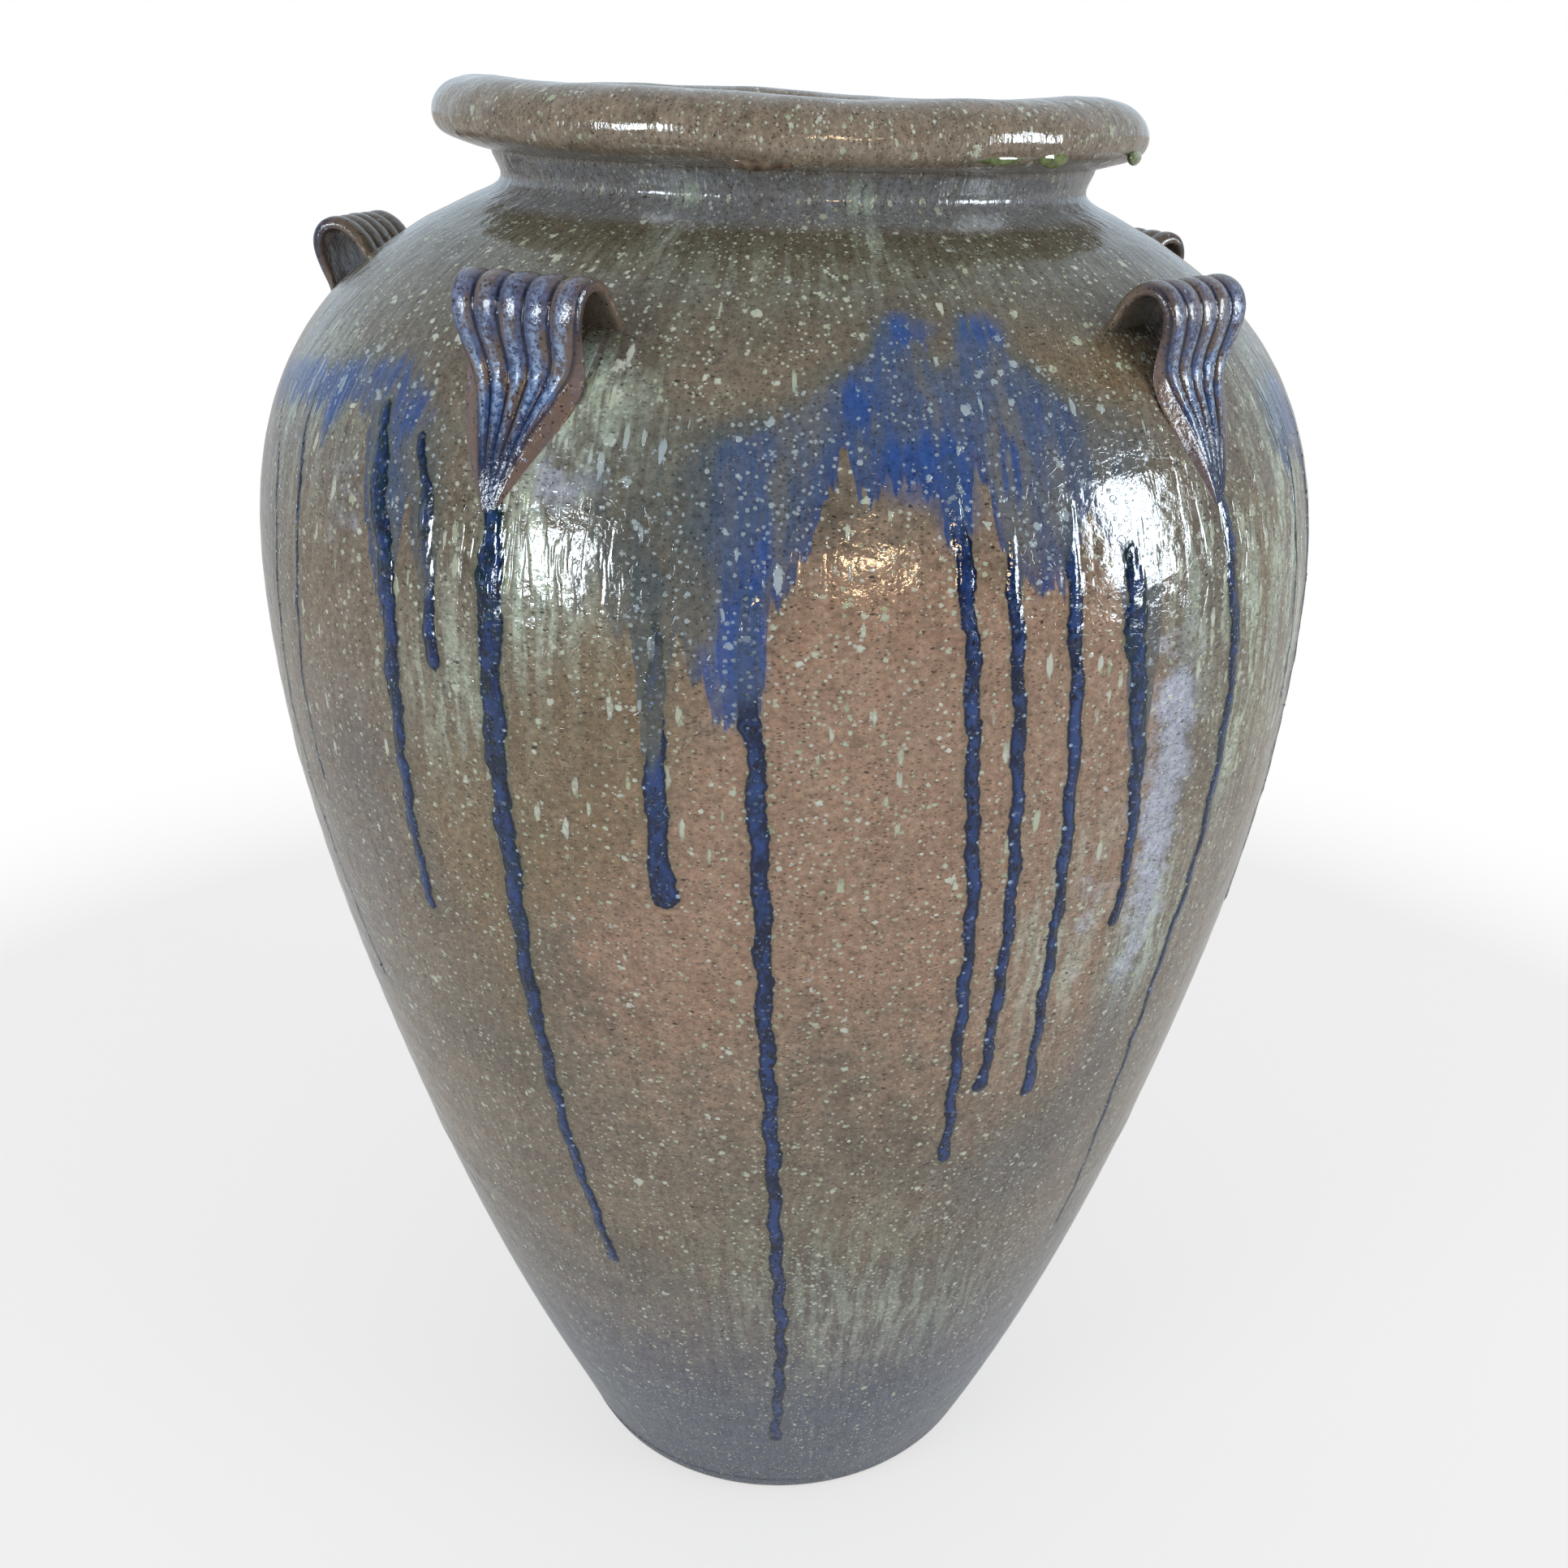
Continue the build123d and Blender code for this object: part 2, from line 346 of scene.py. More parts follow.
# %% Curves through points
def smooth_curve(points, start_way=None, end_way=None, steps=60):
    """Cubic curve through points, as many short steps. The ends are free, or follow a way."""
    points = np.array(points, float)
    gaps = np.linalg.norm(np.diff(points, axis=0), axis=1)[:, None]
    slopes = np.diff(points, axis=0) / gaps
    count = len(points)
    system = np.zeros((count, count))
    wanted = np.zeros((count, 2))
    for place in range(1, count - 1):
        before, after = 1 / gaps[place - 1, 0], 1 / gaps[place, 0]
        system[place, place - 1 : place + 2] = before, 2 * (before + after), after
        wanted[place] = 3 * (slopes[place - 1] * before + slopes[place] * after)
    for place, beside, slope, way in (
        (0, 1, slopes[0], start_way), (count - 1, count - 2, slopes[-1], end_way)
    ):
        if way is None:
            system[place, [place, beside]] = 2, 1
            wanted[place] = 3 * slope
        else:
            system[place, place] = 1
            wanted[place] = np.array(way) / np.linalg.norm(way)
    ways = np.linalg.solve(system, wanted)
    t = np.linspace(0, 1, steps, endpoint=False)[:, None]
    spans = [
        points[i] * (2 * t**3 - 3 * t**2 + 1)
        + points[i + 1] * (3 * t**2 - 2 * t**3)
        + ways[i] * gaps[i] * (t**3 - 2 * t**2 + t)
        + ways[i + 1] * gaps[i] * (t**3 - t**2)
        for i in range(count - 1)
    ]
    return np.vstack([*spans, points[-1:]])


# %% [markdown]
# Places on the jar are named by their length along this line, up from the foot, because a
# height says little where the shoulder turns flat.


# %% A line measured along itself
class Outline:
    """A line of (radius, height) points, measured along itself."""

    def __init__(self, points):
        self.points = np.array(points)
        spacing = np.linalg.norm(np.diff(self.points, axis=0), axis=1)
        self.lengths = np.concatenate([[0.0], np.cumsum(spacing)])
        ways = np.gradient(self.points, self.lengths, axis=0)
        self.ways = ways / np.linalg.norm(ways, axis=1)[:, None]
        self.length = self.lengths[-1]

    def at(self, lengths):
        """Points and outward normals at distances along the line."""
        tables = (*self.points.T, *self.ways.T)
        radius, height, out, up = (np.interp(lengths, self.lengths, table) for table in tables)
        return np.stack([radius, height], -1), np.stack([up, -out], -1)

    def length_at(self, height):
        """Distance along the line where it reaches a height."""
        return np.interp(height, self.points[:, 1], self.lengths)


# %% Outside and inside
spread = belly_radius - foot_radius
draw_in = belly_radius - shoulder_top_radius
shoulder_rise = shoulder_top_height - belly_height
wall_points = [(foot_radius + spread * out, belly_height * up) for up, out in lower_outline_shares]
wall_points += [
    (belly_radius - draw_in * drawn, belly_height + shoulder_rise * up)
    for up, drawn in upper_outline_shares
]
wall_line = smooth_curve(wall_points)
shoulder_way = wall_line[-1] - wall_line[-2]
neck_line = smooth_curve([wall_line[-1], neck_waist, neck_edge], shoulder_way, neck_flare)
outside = Outline(np.vstack([wall_line, neck_line[1:]]))

inner_lengths = np.linspace(0, outside.length_at(shoulder_top_height), len(wall_points))
inner_points, inner_normals = outside.at(inner_lengths)
inner_line = smooth_curve(inner_points - inner_normals * wall_thickness)
bend_line = smooth_curve(
    [inner_line[-1], (mouth_radius, bore_bottom_height)], inner_line[-1] - inner_line[-2], (0, 1)
)
inside = Outline(np.vstack([inner_line, bend_line[1:], (mouth_radius, bore_top_height)]))
print(
    "outside is", round(outside.length, 3), "m from foot to lip; widest",
    round(outside.points[:, 0].max(), 4), "m"
)

# %% [markdown]
# ## The hand in the clay
#
# A jar this big is built in thrown sections, and it is never quite round. The wall leans a
# little, swells where two sections were luted, and keeps the faint rings of the fingers. This
# is added as a few slow waves, because noise would look like crumpled paper.

# %% Unevenness of the thrown wall
seed = np.random.default_rng(7)
wobbles = ((2, 0.0011), (3, 0.0006), (5, 0.00025), (8, 0.00012))
wobble_waves = [(waves, reach, seed.uniform(-9, 9), seed.uniform(0, 6.28)) for waves, reach in wobbles]
ring_pitch = 0.0165
ring_depth = 0.00008
seam_swell = 0.0004
seam_width = 0.007


def soft_step(value, low, high):
    """0 below low, 1 above high, and smooth between."""
    share = np.clip((value - low) / (high - low), 0, 1)
    return share * share * (3 - 2 * share)


def unevenness(turn, length):
    """How far the wall stands out of its outline, at an angle round the jar and a length up."""
    swell = sum(
        reach * np.sin(waves * turn + drift * length + start) for waves, reach, drift, start in wobble_waves
    )
    wander = 0.8 * np.sin(turn + 5 * length) + 0.3 * np.sin(3 * turn)
    rings = ring_depth * np.sin(2 * np.pi * length / ring_pitch + wander)
    rings = rings * (0.6 + 0.4 * np.sin(11 * length + 2 * turn))
    joints = [outside.length_at(height) for height in seam_heights.values()]
    seams = sum(seam_swell * np.exp(-(((length - joint) / seam_width) ** 2)) for joint in joints)
    at_foot = soft_step(length, 0.0, 0.05)
    at_neck = 1 - soft_step(length, outside.length - 0.05, outside.length)
    return (swell * at_neck + rings + seams) * at_foot


sample_turns = np.radians(np.arange(0, 360, 5.0))[None, :]
sample_lengths = np.linspace(0, outside.length, 40)[:, None]
print(
    "unevenness up to", round(float(np.abs(unevenness(sample_turns, sample_lengths)).max()) * 1000, 2), "mm"
)

# %% [markdown]
# ## The blue runs
#
# Cobalt glaze was trailed over the shoulder and ran down while it was molten. Each run is a
# thick thread of glass: it stands about half a millimetre proud, its edge is wavy, and it ends
# in a bead. A run is written as a few places down the jar, an angle from the front and a
# height, with its width at the top and at the bottom. A painted line would be flat, so the
# same distances also lift the mesh.

# %% Where the runs go
# Each row: places as (degrees from the front, height), top width, bottom width, how teal the
# run is at its top and at its bottom
named_runs = {
    "far_left_outer": (
        (
            (-67, 0.584), (-62, 0.562), (-60, 0.539), (-60.4, 0.505), (-62, 0.459), (-60, 0.42),
            (-57, 0.375), (-54.6, 0.337)
        ),
        0.0034, 0.0022, 0.3, 0.1
    ),
    "far_left_inner": (
        ((-57, 0.593), (-55, 0.568), (-53.8, 0.544), (-53.8, 0.519), (-55.3, 0.473), (-54.6, 0.436)),
        0.0036, 0.0026, 0.3, 0.1
    ),
    "left_dark": (
        (
            (-42, 0.592), (-40.2, 0.567), (-38.1, 0.542), (-37.5, 0.522), (-37.5, 0.485), (-37.6, 0.444),
            (-37.3, 0.403)
        ),
        0.0115, 0.0045, 0.9, 0.3
    ),
    "left_short": (
        ((-36, 0.585), (-34.1, 0.570), (-32.9, 0.543), (-32.6, 0.526), (-32.3, 0.510)), 0.0085, 0.005, 0.6,
        0.2
    ),
    "lug_left": (
        (
            (-26.4, 0.572), (-26.1, 0.531), (-26.1, 0.470), (-25.8, 0.429), (-26.2, 0.383), (-26.1, 0.340),
            (-26.0, 0.293), (-25.0, 0.252), (-24.1, 0.214)
        ),
        0.0115, 0.0046, 1.0, 0.1
    ),
    "short_wide": (
        ((-11.1, 0.535), (-11.2, 0.505), (-11.4, 0.460), (-11.0, 0.432)), 0.0068, 0.0080, 0.4, 0.2
    ),
    "centre": (
        (
            (-3.4, 0.545), (-3.6, 0.512), (-2.9, 0.494), (-2.7, 0.469), (-2.3, 0.429), (-2.1, 0.383),
            (-1.5, 0.312), (-0.9, 0.225), (-0.3, 0.174), (-0.6, 0.115), (-1.5, 0.066)
        ),
        0.0078, 0.0052, 0.2, 0.0
    ),
    "right_one": (
        (
            (13.8, 0.588), (14.5, 0.555), (15.2, 0.528), (15.5, 0.498), (16.0, 0.466), (16.9, 0.431),
            (17.3, 0.393), (17.9, 0.341), (18.8, 0.289)
        ),
        0.0066, 0.0048, 0.1, 0.0
    ),
    "right_two": (
        (
            (18.9, 0.565), (19.0, 0.545), (19.5, 0.517), (20.1, 0.477), (20.6, 0.446), (21.2, 0.398),
            (21.3, 0.364), (21.5, 0.330)
        ),
        0.0060, 0.0050, 0.2, 0.0
    ),
    "right_three": (
        (
            (24.9, 0.572), (24.7, 0.541), (25.3, 0.508), (25.6, 0.483), (26.0, 0.442), (26.3, 0.416),
            (26.8, 0.371), (27.9, 0.319)
        ),
        0.0066, 0.0050, 0.2, 0.0
    ),
    "right_wide": (
        ((31.2, 0.555), (31.6, 0.520), (32.4, 0.497), (33.3, 0.467), (34.0, 0.434), (34.1, 0.402)), 0.0125,
        0.0042, 1.0, 0.0
    ),
    "lug_right": (
        (
            (44.0, 0.568), (44.9, 0.528), (45.7, 0.508), (45.8, 0.456), (45.5, 0.403), (44.7, 0.370),
            (44.8, 0.325), (45.2, 0.285), (46.4, 0.233), (46.2, 0.199)
        ),
        0.0082, 0.0024, 0.8, 0.1
    ),
    "far_right_inner": (
        ((62.5, 0.590), (60.8, 0.560), (60.4, 0.534), (61, 0.505), (61.5, 0.47)), 0.0036, 0.0024, 0.3, 0.1
    ),
    "far_right_outer": (
        ((70, 0.588), (68, 0.55), (67.5, 0.50), (66.5, 0.43), (65.5, 0.36)), 0.0055, 0.0030, 0.3, 0.1
    ),
}
print(len(named_runs), "runs on the side that the picture shows")

# %% [markdown]
# The back of the jar isn't in the picture. It is the same jar, so its runs follow the same habit:
# one thick run below every lug, and a few thin ones between them, drawn from a fixed seed.

# %% Runs on the far side
lug_degrees = {
    "lug_front_left": -25.8, "lug_front_right": 44.5, "lug_right_back": 121.0, "lug_back": 190.0,
    "lug_left_back": -100.5
}


def hanging_run(degrees, top, bottom, width, teal):
    """One run that sways a little on its way down."""
    heights = np.linspace(top, bottom, 6)
    sways = degrees + np.cumsum(seed.uniform(-0.7, 0.7, 6))
    return tuple(zip(sways, heights)), width, width * seed.uniform(0.45, 0.65), teal, 0.1


all_runs = dict(named_runs)
for lug in ("lug_right_back", "lug_back", "lug_left_back"):
    all_runs["below_" + lug] = hanging_run(lug_degrees[lug], 0.572, seed.uniform(0.17, 0.30), 0.0105, 0.9)
for number, degrees in enumerate((82, 89, 96, 106, 134, 139, 147, 158, 169, 178, 203, 211, 222, 229, 240)):
    bottom = seed.choice([0.46, 0.40, 0.33, 0.27, 0.20]) + seed.uniform(-0.02, 0.02)
    all_runs[f"far_side_{number}"] = hanging_run(
        degrees, seed.uniform(0.575, 0.595), bottom, seed.uniform(0.004, 0.009), 0.4
    )
ripple_pitches = (0.007, 0.013, 0.023, 0.041)
run_ripples = {
    name: [(seed.uniform(0.03, 0.08), pitch, seed.uniform(0, 6.28)) for pitch in ripple_pitches]
    for name in all_runs
}
print(len(all_runs), "runs in all")

# %% [markdown]
# Every other step asks one thing of the runs: how deep does this place lie inside the nearest
# one? The same number lifts the mesh, colours the glaze and frays the edge, so they agree.

# %% Distance to the nearest run
far = 0.03
bead_swell = 0.35
bulge_swell, bulge_pitch = 0.22, 0.057
sway_reach, sway_pitch = 0.0006, 0.031
top_taper = 0.028
run_lift = 0.0006
lump_share, lump_pitch = 0.12, 0.011


def run_fields(turn, length):
    """How deep a place lies inside the nearest run, in metres and negative outside, and its tone."""
    depth = np.full(np.broadcast(turn, length).shape, -far)
    tone = np.zeros_like(depth)
    radius = outside.at(length)[0][..., 0]
    for name, (places, top_width, low_width, top_tone, low_tone) in all_runs.items():
        lengths = outside.length_at([height for _, height in places])[::-1]
        turns = np.radians([degrees for degrees, _ in places])[::-1]
        down = np.clip((lengths[-1] - length) / (lengths[-1] - lengths[0]), 0, 1)
        ripples = run_ripples[name]
        ripple = sum(share * np.sin(2 * np.pi * length / pitch + start) for share, pitch, start in ripples)
        bulge = np.sin(2 * np.pi * length / bulge_pitch + 3 * ripples[1][2])
        ripple = ripple + bulge_swell * np.maximum(0, bulge - 0.55)
        tip = np.exp(-(((length - lengths[0]) / (1.6 * low_width)) ** 2))
        half = 0.5 * (top_width + (low_width - top_width) * down**0.7) * (1 + ripple + bead_swell * tip)
        sway = sway_reach * np.sin(2 * np.pi * length / sway_pitch + ripples[0][2]) / radius
        away = (turn - np.interp(length, lengths, turns) - sway + np.pi) % (2 * np.pi) - np.pi
        beyond = np.maximum(0, np.maximum(lengths[0] - length, length - lengths[-1]))
        half = half * (0.55 + 0.45 * soft_step(lengths[-1] - length, 0.0, top_taper))
        inner = half - np.hypot(away * radius, beyond)
        tone = np.where(inner > depth, top_tone + (low_tone - top_tone) * down, tone)
        depth = np.maximum(depth, inner)
    return depth, tone


def relief(turn, length):
    """How far the fired surface stands out of the plain outline."""
    depth, _ = run_fields(turn, length)
    lumps = 1 + lump_share * np.sin(2 * np.pi * length / lump_pitch + 9 * turn)
    return unevenness(turn, length) + run_lift * lumps * soft_step(depth, -0.0004, 0.0024)


front_turns = np.radians(np.arange(-80, 80, 0.5))[None, :]
front_depth, _ = run_fields(front_turns, np.linspace(0.05, 0.7, 300)[:, None])
print("runs cover", round(float((front_depth > 0).mean()) * 100, 1), "percent of the front")

# %% [markdown]
# ## Washes, stains, ash and painted sheen
#
# Above the runs lies the cobalt that fed them: sheets of slate blue with a sharp torn lower edge
# and a soft upper one. The clay below changes too, from bare pinkish brown on the belly to
# ochre where ash fell, and grey at the foot. Noise alone would put these anywhere, so each is
# listed as a rough patch, and noise in the finish breaks up its edge.

# %% Where the washes lie
# Each row: degrees from the front, height of the lower edge, height of the upper edge, strength
washes = {
    "centre": (
        (-24, 0.588, 0.594, 0.0), (-22, 0.580, 0.598, 0.25), (-20, 0.560, 0.602, 0.4),
        (-18, 0.538, 0.604, 0.5), (-16, 0.548, 0.606, 0.6),
        (-14.5, 0.527, 0.608, 0.7), (-13, 0.532, 0.608, 0.7), (-12.6, 0.500, 0.607, 0.75),
        (-11.7, 0.474, 0.606, 0.75), (-10.8, 0.482, 0.605, 0.75), (-10.2, 0.510, 0.604, 0.75),
        (-9.4, 0.533, 0.603, 0.75),
        (-8.2, 0.512, 0.604, 0.8), (-7.2, 0.522, 0.604, 0.8), (-6.2, 0.500, 0.604, 0.9),
        (-4.2, 0.503, 0.604, 1.0), (-2.2, 0.507, 0.606, 1.0),
        (-1.8, 0.547, 0.608, 0.9), (-0.6, 0.544, 0.612, 0.9), (0.5, 0.556, 0.614, 0.9),
        (1.9, 0.566, 0.616, 1.0), (3.0, 0.581, 0.618, 1.0),
        (4.8, 0.592, 0.620, 1.0), (5.6, 0.578, 0.622, 1.0), (6.6, 0.575, 0.624, 1.0),
        (8.0, 0.584, 0.628, 1.0), (9.3, 0.577, 0.632, 1.0),
        (10.6, 0.583, 0.633, 1.0), (12.5, 0.573, 0.628, 1.0), (13.5, 0.560, 0.622, 1.0),
        (15.0, 0.561, 0.622, 1.0), (16.0, 0.584, 0.626, 1.0),
        (17.0, 0.582, 0.630, 1.0), (18.0, 0.560, 0.633, 1.0), (19.5, 0.545, 0.632, 1.0),
        (22.0, 0.546, 0.626, 1.0), (24.0, 0.547, 0.620, 0.95),
        (25.6, 0.562, 0.616, 0.9), (27.0, 0.566, 0.612, 0.9), (29.0, 0.556, 0.608, 0.85),
        (30.2, 0.530, 0.607, 0.85), (31.0, 0.500, 0.606, 0.85), (32.2, 0.474, 0.604, 0.85),
        (33.4, 0.468, 0.602, 0.8), (34.4, 0.520, 0.601, 0.7),
        (35.0, 0.567, 0.600, 0.5), (37.0, 0.577, 0.598, 0.3), (39.0, 0.588, 0.594, 0.0),
    ),
    "left": (
        (-80, 0.588, 0.592, 0.0), (-76, 0.580, 0.594, 0.8), (-72, 0.582, 0.596, 1.0),
        (-69, 0.574, 0.597, 1.0), (-66.5, 0.583, 0.598, 1.0),
        (-62, 0.583, 0.600, 1.0), (-59, 0.584, 0.603, 1.0), (-57, 0.580, 0.605, 1.0),
        (-55.5, 0.584, 0.607, 1.0), (-53, 0.591, 0.609, 1.0),
        (-51.4, 0.570, 0.611, 1.0), (-50, 0.588, 0.612, 1.0), (-47, 0.592, 0.614, 0.9),
        (-44, 0.586, 0.614, 0.8), (-42.5, 0.566, 0.613, 1.0),
        (-41, 0.550, 0.612, 1.0), (-39.5, 0.532, 0.610, 1.0), (-38, 0.520, 0.606, 0.95),
        (-36.8, 0.540, 0.603, 0.9), (-36, 0.566, 0.602, 0.8), (-34.6, 0.545, 0.600, 0.8),
        (-33.4, 0.524, 0.598, 0.7), (-32.2, 0.530, 0.597, 0.6), (-31.4, 0.575, 0.595, 0.4),
        (-30.6, 0.588, 0.592, 0.0),
    ),
    "right": (
        (55, 0.590, 0.594, 0.0), (57, 0.578, 0.602, 0.7), (60, 0.564, 0.606, 1.0), (63, 0.572, 0.608, 1.0),
        (66, 0.566, 0.608, 1.0),
        (69, 0.560, 0.606, 1.0), (72, 0.580, 0.604, 1.0), (76, 0.584, 0.600, 0.6), (79, 0.590, 0.596, 0.0),
    ),
}


def far_side_wash(first, last):
    """A wash between two angles, with a torn lower edge drawn from the seed."""
    degrees = np.arange(first, last, 1.7)
    drift = np.cumsum(seed.uniform(-0.009, 0.009, len(degrees))) * 0.6
    low = 0.572 + drift - seed.choice([0, 0.018], len(degrees), p=[0.7, 0.3])
    high = 0.606 + 0.008 * np.sin(degrees / 4)
    strength = np.sin(np.pi * np.linspace(0, 1, len(degrees))) ** 0.4
    return tuple(zip(degrees, np.minimum(low, 0.590), high, strength))


washes["far_right"] = far_side_wash(80, 112)
washes["far_back"] = far_side_wash(131, 182)
washes["far_left"] = far_side_wash(200, 245)
print("washes:", ", ".join(washes))

# %% Stains on the ground glaze, and painted sheen
# Each row: degrees from the front, height, reach round the jar, reach up and down, strength
stains_and_sheen = {
    "cobalt": (
        (11.6, 0.627, 0.010, 0.008, 0.9), (20.6, 0.627, 0.012, 0.009, 0.7), (5.6, 0.606, 0.009, 0.010, 0.9),
        (10.5, 0.586, 0.014, 0.012, 1.0),
        (14.2, 0.578, 0.008, 0.018, 1.0), (-4.3, 0.522, 0.010, 0.022, 1.0),
        (-2.6, 0.556, 0.006, 0.016, 0.6), (19.5, 0.580, 0.007, 0.020, 0.5),
        (-58, 0.593, 0.030, 0.010, 0.9), (-70, 0.589, 0.030, 0.010, 0.8), (-50.8, 0.590, 0.008, 0.014, 0.8),
        (-44, 0.603, 0.012, 0.010, 0.6), (-38.5, 0.592, 0.012, 0.014, 0.5),
        (67, 0.584, 0.020, 0.016, 0.8), (25, 0.598, 0.010, 0.012, 0.4), (88, 0.590, 0.020, 0.014, 0.8),
        (104, 0.588, 0.016, 0.012, 0.7),
        (140, 0.588, 0.022, 0.014, 0.8), (160, 0.592, 0.022, 0.012, 0.7), (174, 0.586, 0.016, 0.014, 0.8),
        (214, 0.590, 0.024, 0.014, 0.8), (232, 0.588, 0.020, 0.014, 0.8),
    ),
    "ochre": (
        (-30, 0.445, 0.026, 0.055, 0.9), (-15, 0.500, 0.034, 0.040, 0.75), (-20, 0.460, 0.030, 0.045, 0.8),
        (-50, 0.52, 0.024, 0.060, 0.5), (-62, 0.47, 0.03, 0.08, 0.5),
        (51, 0.520, 0.026, 0.075, 1.0), (59, 0.455, 0.018, 0.060, 0.7), (-27, 0.36, 0.02, 0.03, 0.4),
        (2, 0.622, 0.05, 0.02, 0.3), (36, 0.612, 0.03, 0.014, 0.8), (26, 0.620, 0.03, 0.015, 0.5),
        (-8, 0.600, 0.04, 0.02, 0.15), (110, 0.50, 0.05, 0.07, 0.8),
        (150, 0.46, 0.06, 0.07, 0.8), (196, 0.50, 0.05, 0.08, 0.9), (235, 0.44, 0.06, 0.07, 0.7),
    ),
    "pink": (
        (12, 0.515, 0.070, 0.055, 1.0), (6, 0.44, 0.085, 0.062, 1.0), (30, 0.45, 0.035, 0.08, 0.7),
        (-6, 0.33, 0.080, 0.05, 0.3), (-47, 0.50, 0.030, 0.06, 0.3),
        (-56, 0.572, 0.040, 0.012, 0.3), (-14, 0.40, 0.04, 0.05, 0.5), (25, 0.34, 0.06, 0.06, 0.4),
        (90, 0.44, 0.08, 0.09, 0.7), (130, 0.40, 0.08, 0.08, 0.7), (175, 0.43, 0.09, 0.09, 0.8),
        (216, 0.40, 0.08, 0.08, 0.7),
    ),
    # Grey is partly the glaze's tone, partly painted sheen: the patches at 38 and -66 degrees stand for
    # mirrored windows.
    "grey_and_sheen": (
        (38, 0.47, 0.012, 0.060, 0.9), (30, 0.27, 0.060, 0.06, 0.5), (-10, 0.05, 0.20, 0.08, 0.8),
        (-62, 0.36, 0.05, 0.08, 0.6), (-66, 0.56, 0.05, 0.09, 0.7), (-45, 0.45, 0.04, 0.10, 0.4),
        (38, 0.36, 0.02, 0.05, 0.5), (120, 0.3, 0.06, 0.06, 0.5), (205, 0.28, 0.06, 0.06, 0.5)
    ),
    # Lavender is painted sheen: pale cool reflections, chiefly the right window's down the belly.
    "lavender_sheen": (
        (37, 0.475, 0.015, 0.055, 0.8), (38, 0.40, 0.012, 0.04, 0.6), (30, 0.415, 0.006, 0.03, 0.5),
        (-20, 0.575, 0.014, 0.010, 0.6), (-24, 0.615, 0.02, 0.006, 0.3),
        (-46, 0.56, 0.016, 0.02, 0.4), (150, 0.50, 0.012, 0.05, 0.6), (222, 0.47, 0.012, 0.05, 0.6),
    ),
    # Ash is mostly real, but its spot at -60 degrees high on the left is painted sheen, a mirrored window's
    # grey-green.
    "ash_and_sheen": (
        (60, 0.53, 0.030, 0.075, 1.0), (48, 0.50, 0.012, 0.060, 0.8), (40, 0.39, 0.018, 0.030, 0.9),
        (-19, 0.595, 0.030, 0.020, 0.7), (-22, 0.545, 0.022, 0.030, 0.8),
        (16, 0.175, 0.055, 0.045, 0.28), (4, 0.22, 0.05, 0.05, 0.15), (27, 0.40, 0.02, 0.05, 0.5),
        (-30, 0.50, 0.02, 0.03, 0.6), (-21.6, 0.611, 0.012, 0.010, 1.0),
        (0, 0.642, 0.12, 0.014, 0.12), (10.5, 0.664, 0.006, 0.006, 0.7), (10.5, 0.652, 0.005, 0.012, 0.4),
        (-18.5, 0.664, 0.005, 0.005, 0.7), (-18.5, 0.651, 0.005, 0.010, 0.3),
        (41, 0.535, 0.022, 0.035, 0.5), (-60, 0.585, 0.05, 0.04, 0.4), (96, 0.52, 0.03, 0.06, 0.8),
        (145, 0.50, 0.03, 0.06, 0.8), (186, 0.2, 0.06, 0.05, 0.4), (225, 0.52, 0.03, 0.06, 0.8),
    ),
}


print("stains:", ", ".join(f"{len(rows)} of {name}" for name, rows in stains_and_sheen.items()))

# %% [markdown]
# The tables become numbers at any place on the jar: the distance above a wash's torn edge, and
# soft spots that add up. The mesh carries all of them, and the finishes read them by name.


# %% Marks of a place
def wash_fields(turn, length):
    """How far a place lies above a wash's torn edge, in metres, and how strong the wash is there."""
    above_edge = np.full(np.broadcast(turn, length).shape, -far)
    amount = np.zeros_like(above_edge)
    for table in washes.values():
        degrees, low, high, strength = np.array(table).T
        middle = (degrees[0] + degrees[-1]) / 2
        here = middle + (np.degrees(turn) - middle + 180) % 360 - 180
        edge = length - np.interp(here, degrees, outside.length_at(low))
        top_edge = np.interp(here, degrees, outside.length_at(high)) + 0.010
        fade = soft_step(top_edge - length, 0.0, 0.026)
        held = np.interp(here, degrees, strength, left=0.0, right=0.0)
        within = (here > degrees[0]) & (here < degrees[-1])
        above_edge = np.where(within, np.maximum(above_edge, edge), above_edge)
        amount = np.maximum(amount, held * fade * within)
    return above_edge, amount


def spot_field(spots, turn, length):
    """Soft spots added up, none over 1."""
    total = np.zeros(np.broadcast(turn, length).shape)
    radius = outside.at(length)[0][..., 0]
    for degrees, height, reach_round, reach_up, strength in spots:
        away = (turn - math.radians(degrees) + np.pi) % (2 * np.pi) - np.pi
        rise = (length - outside.length_at(height)) / reach_up
        total = total + strength * np.exp(-((away * radius / reach_round) ** 2) - rise**2)
    return np.minimum(total, 1)


def glaze_marks(turn, length):
    """Everything that the finish has to know about a place on the outside of the jar."""
    run_depth, run_tone = run_fields(turn, length)
    wash_edge, wash = wash_fields(turn, length)
    shape = run_depth.shape
    marks = {"run_mm": run_depth * 1000, "run_tone": run_tone}
    marks.update(wash_mm=np.clip(wash_edge, -far, far) * 1000, wash=wash)
    marks.update({name: spot_field(spots, turn, length) for name, spots in stains_and_sheen.items()})
    marks["rise"] = np.broadcast_to(length / outside.length, shape)
    marks["inside"] = np.zeros(shape)
    return marks


sample_marks = glaze_marks(sample_turns, sample_lengths)
print("each place carries", ", ".join(sample_marks))

# %% [markdown]
# ## The thrown pieces as meshes
#
# Each packed wall piece gets a closed mesh of its own: rows round the jar go up the outside,
# over the seam, down the inside and back. A lathe modifier could spin the outline, but the runs
# and the hand's unevenness differ round the jar, so every point is worked out here.

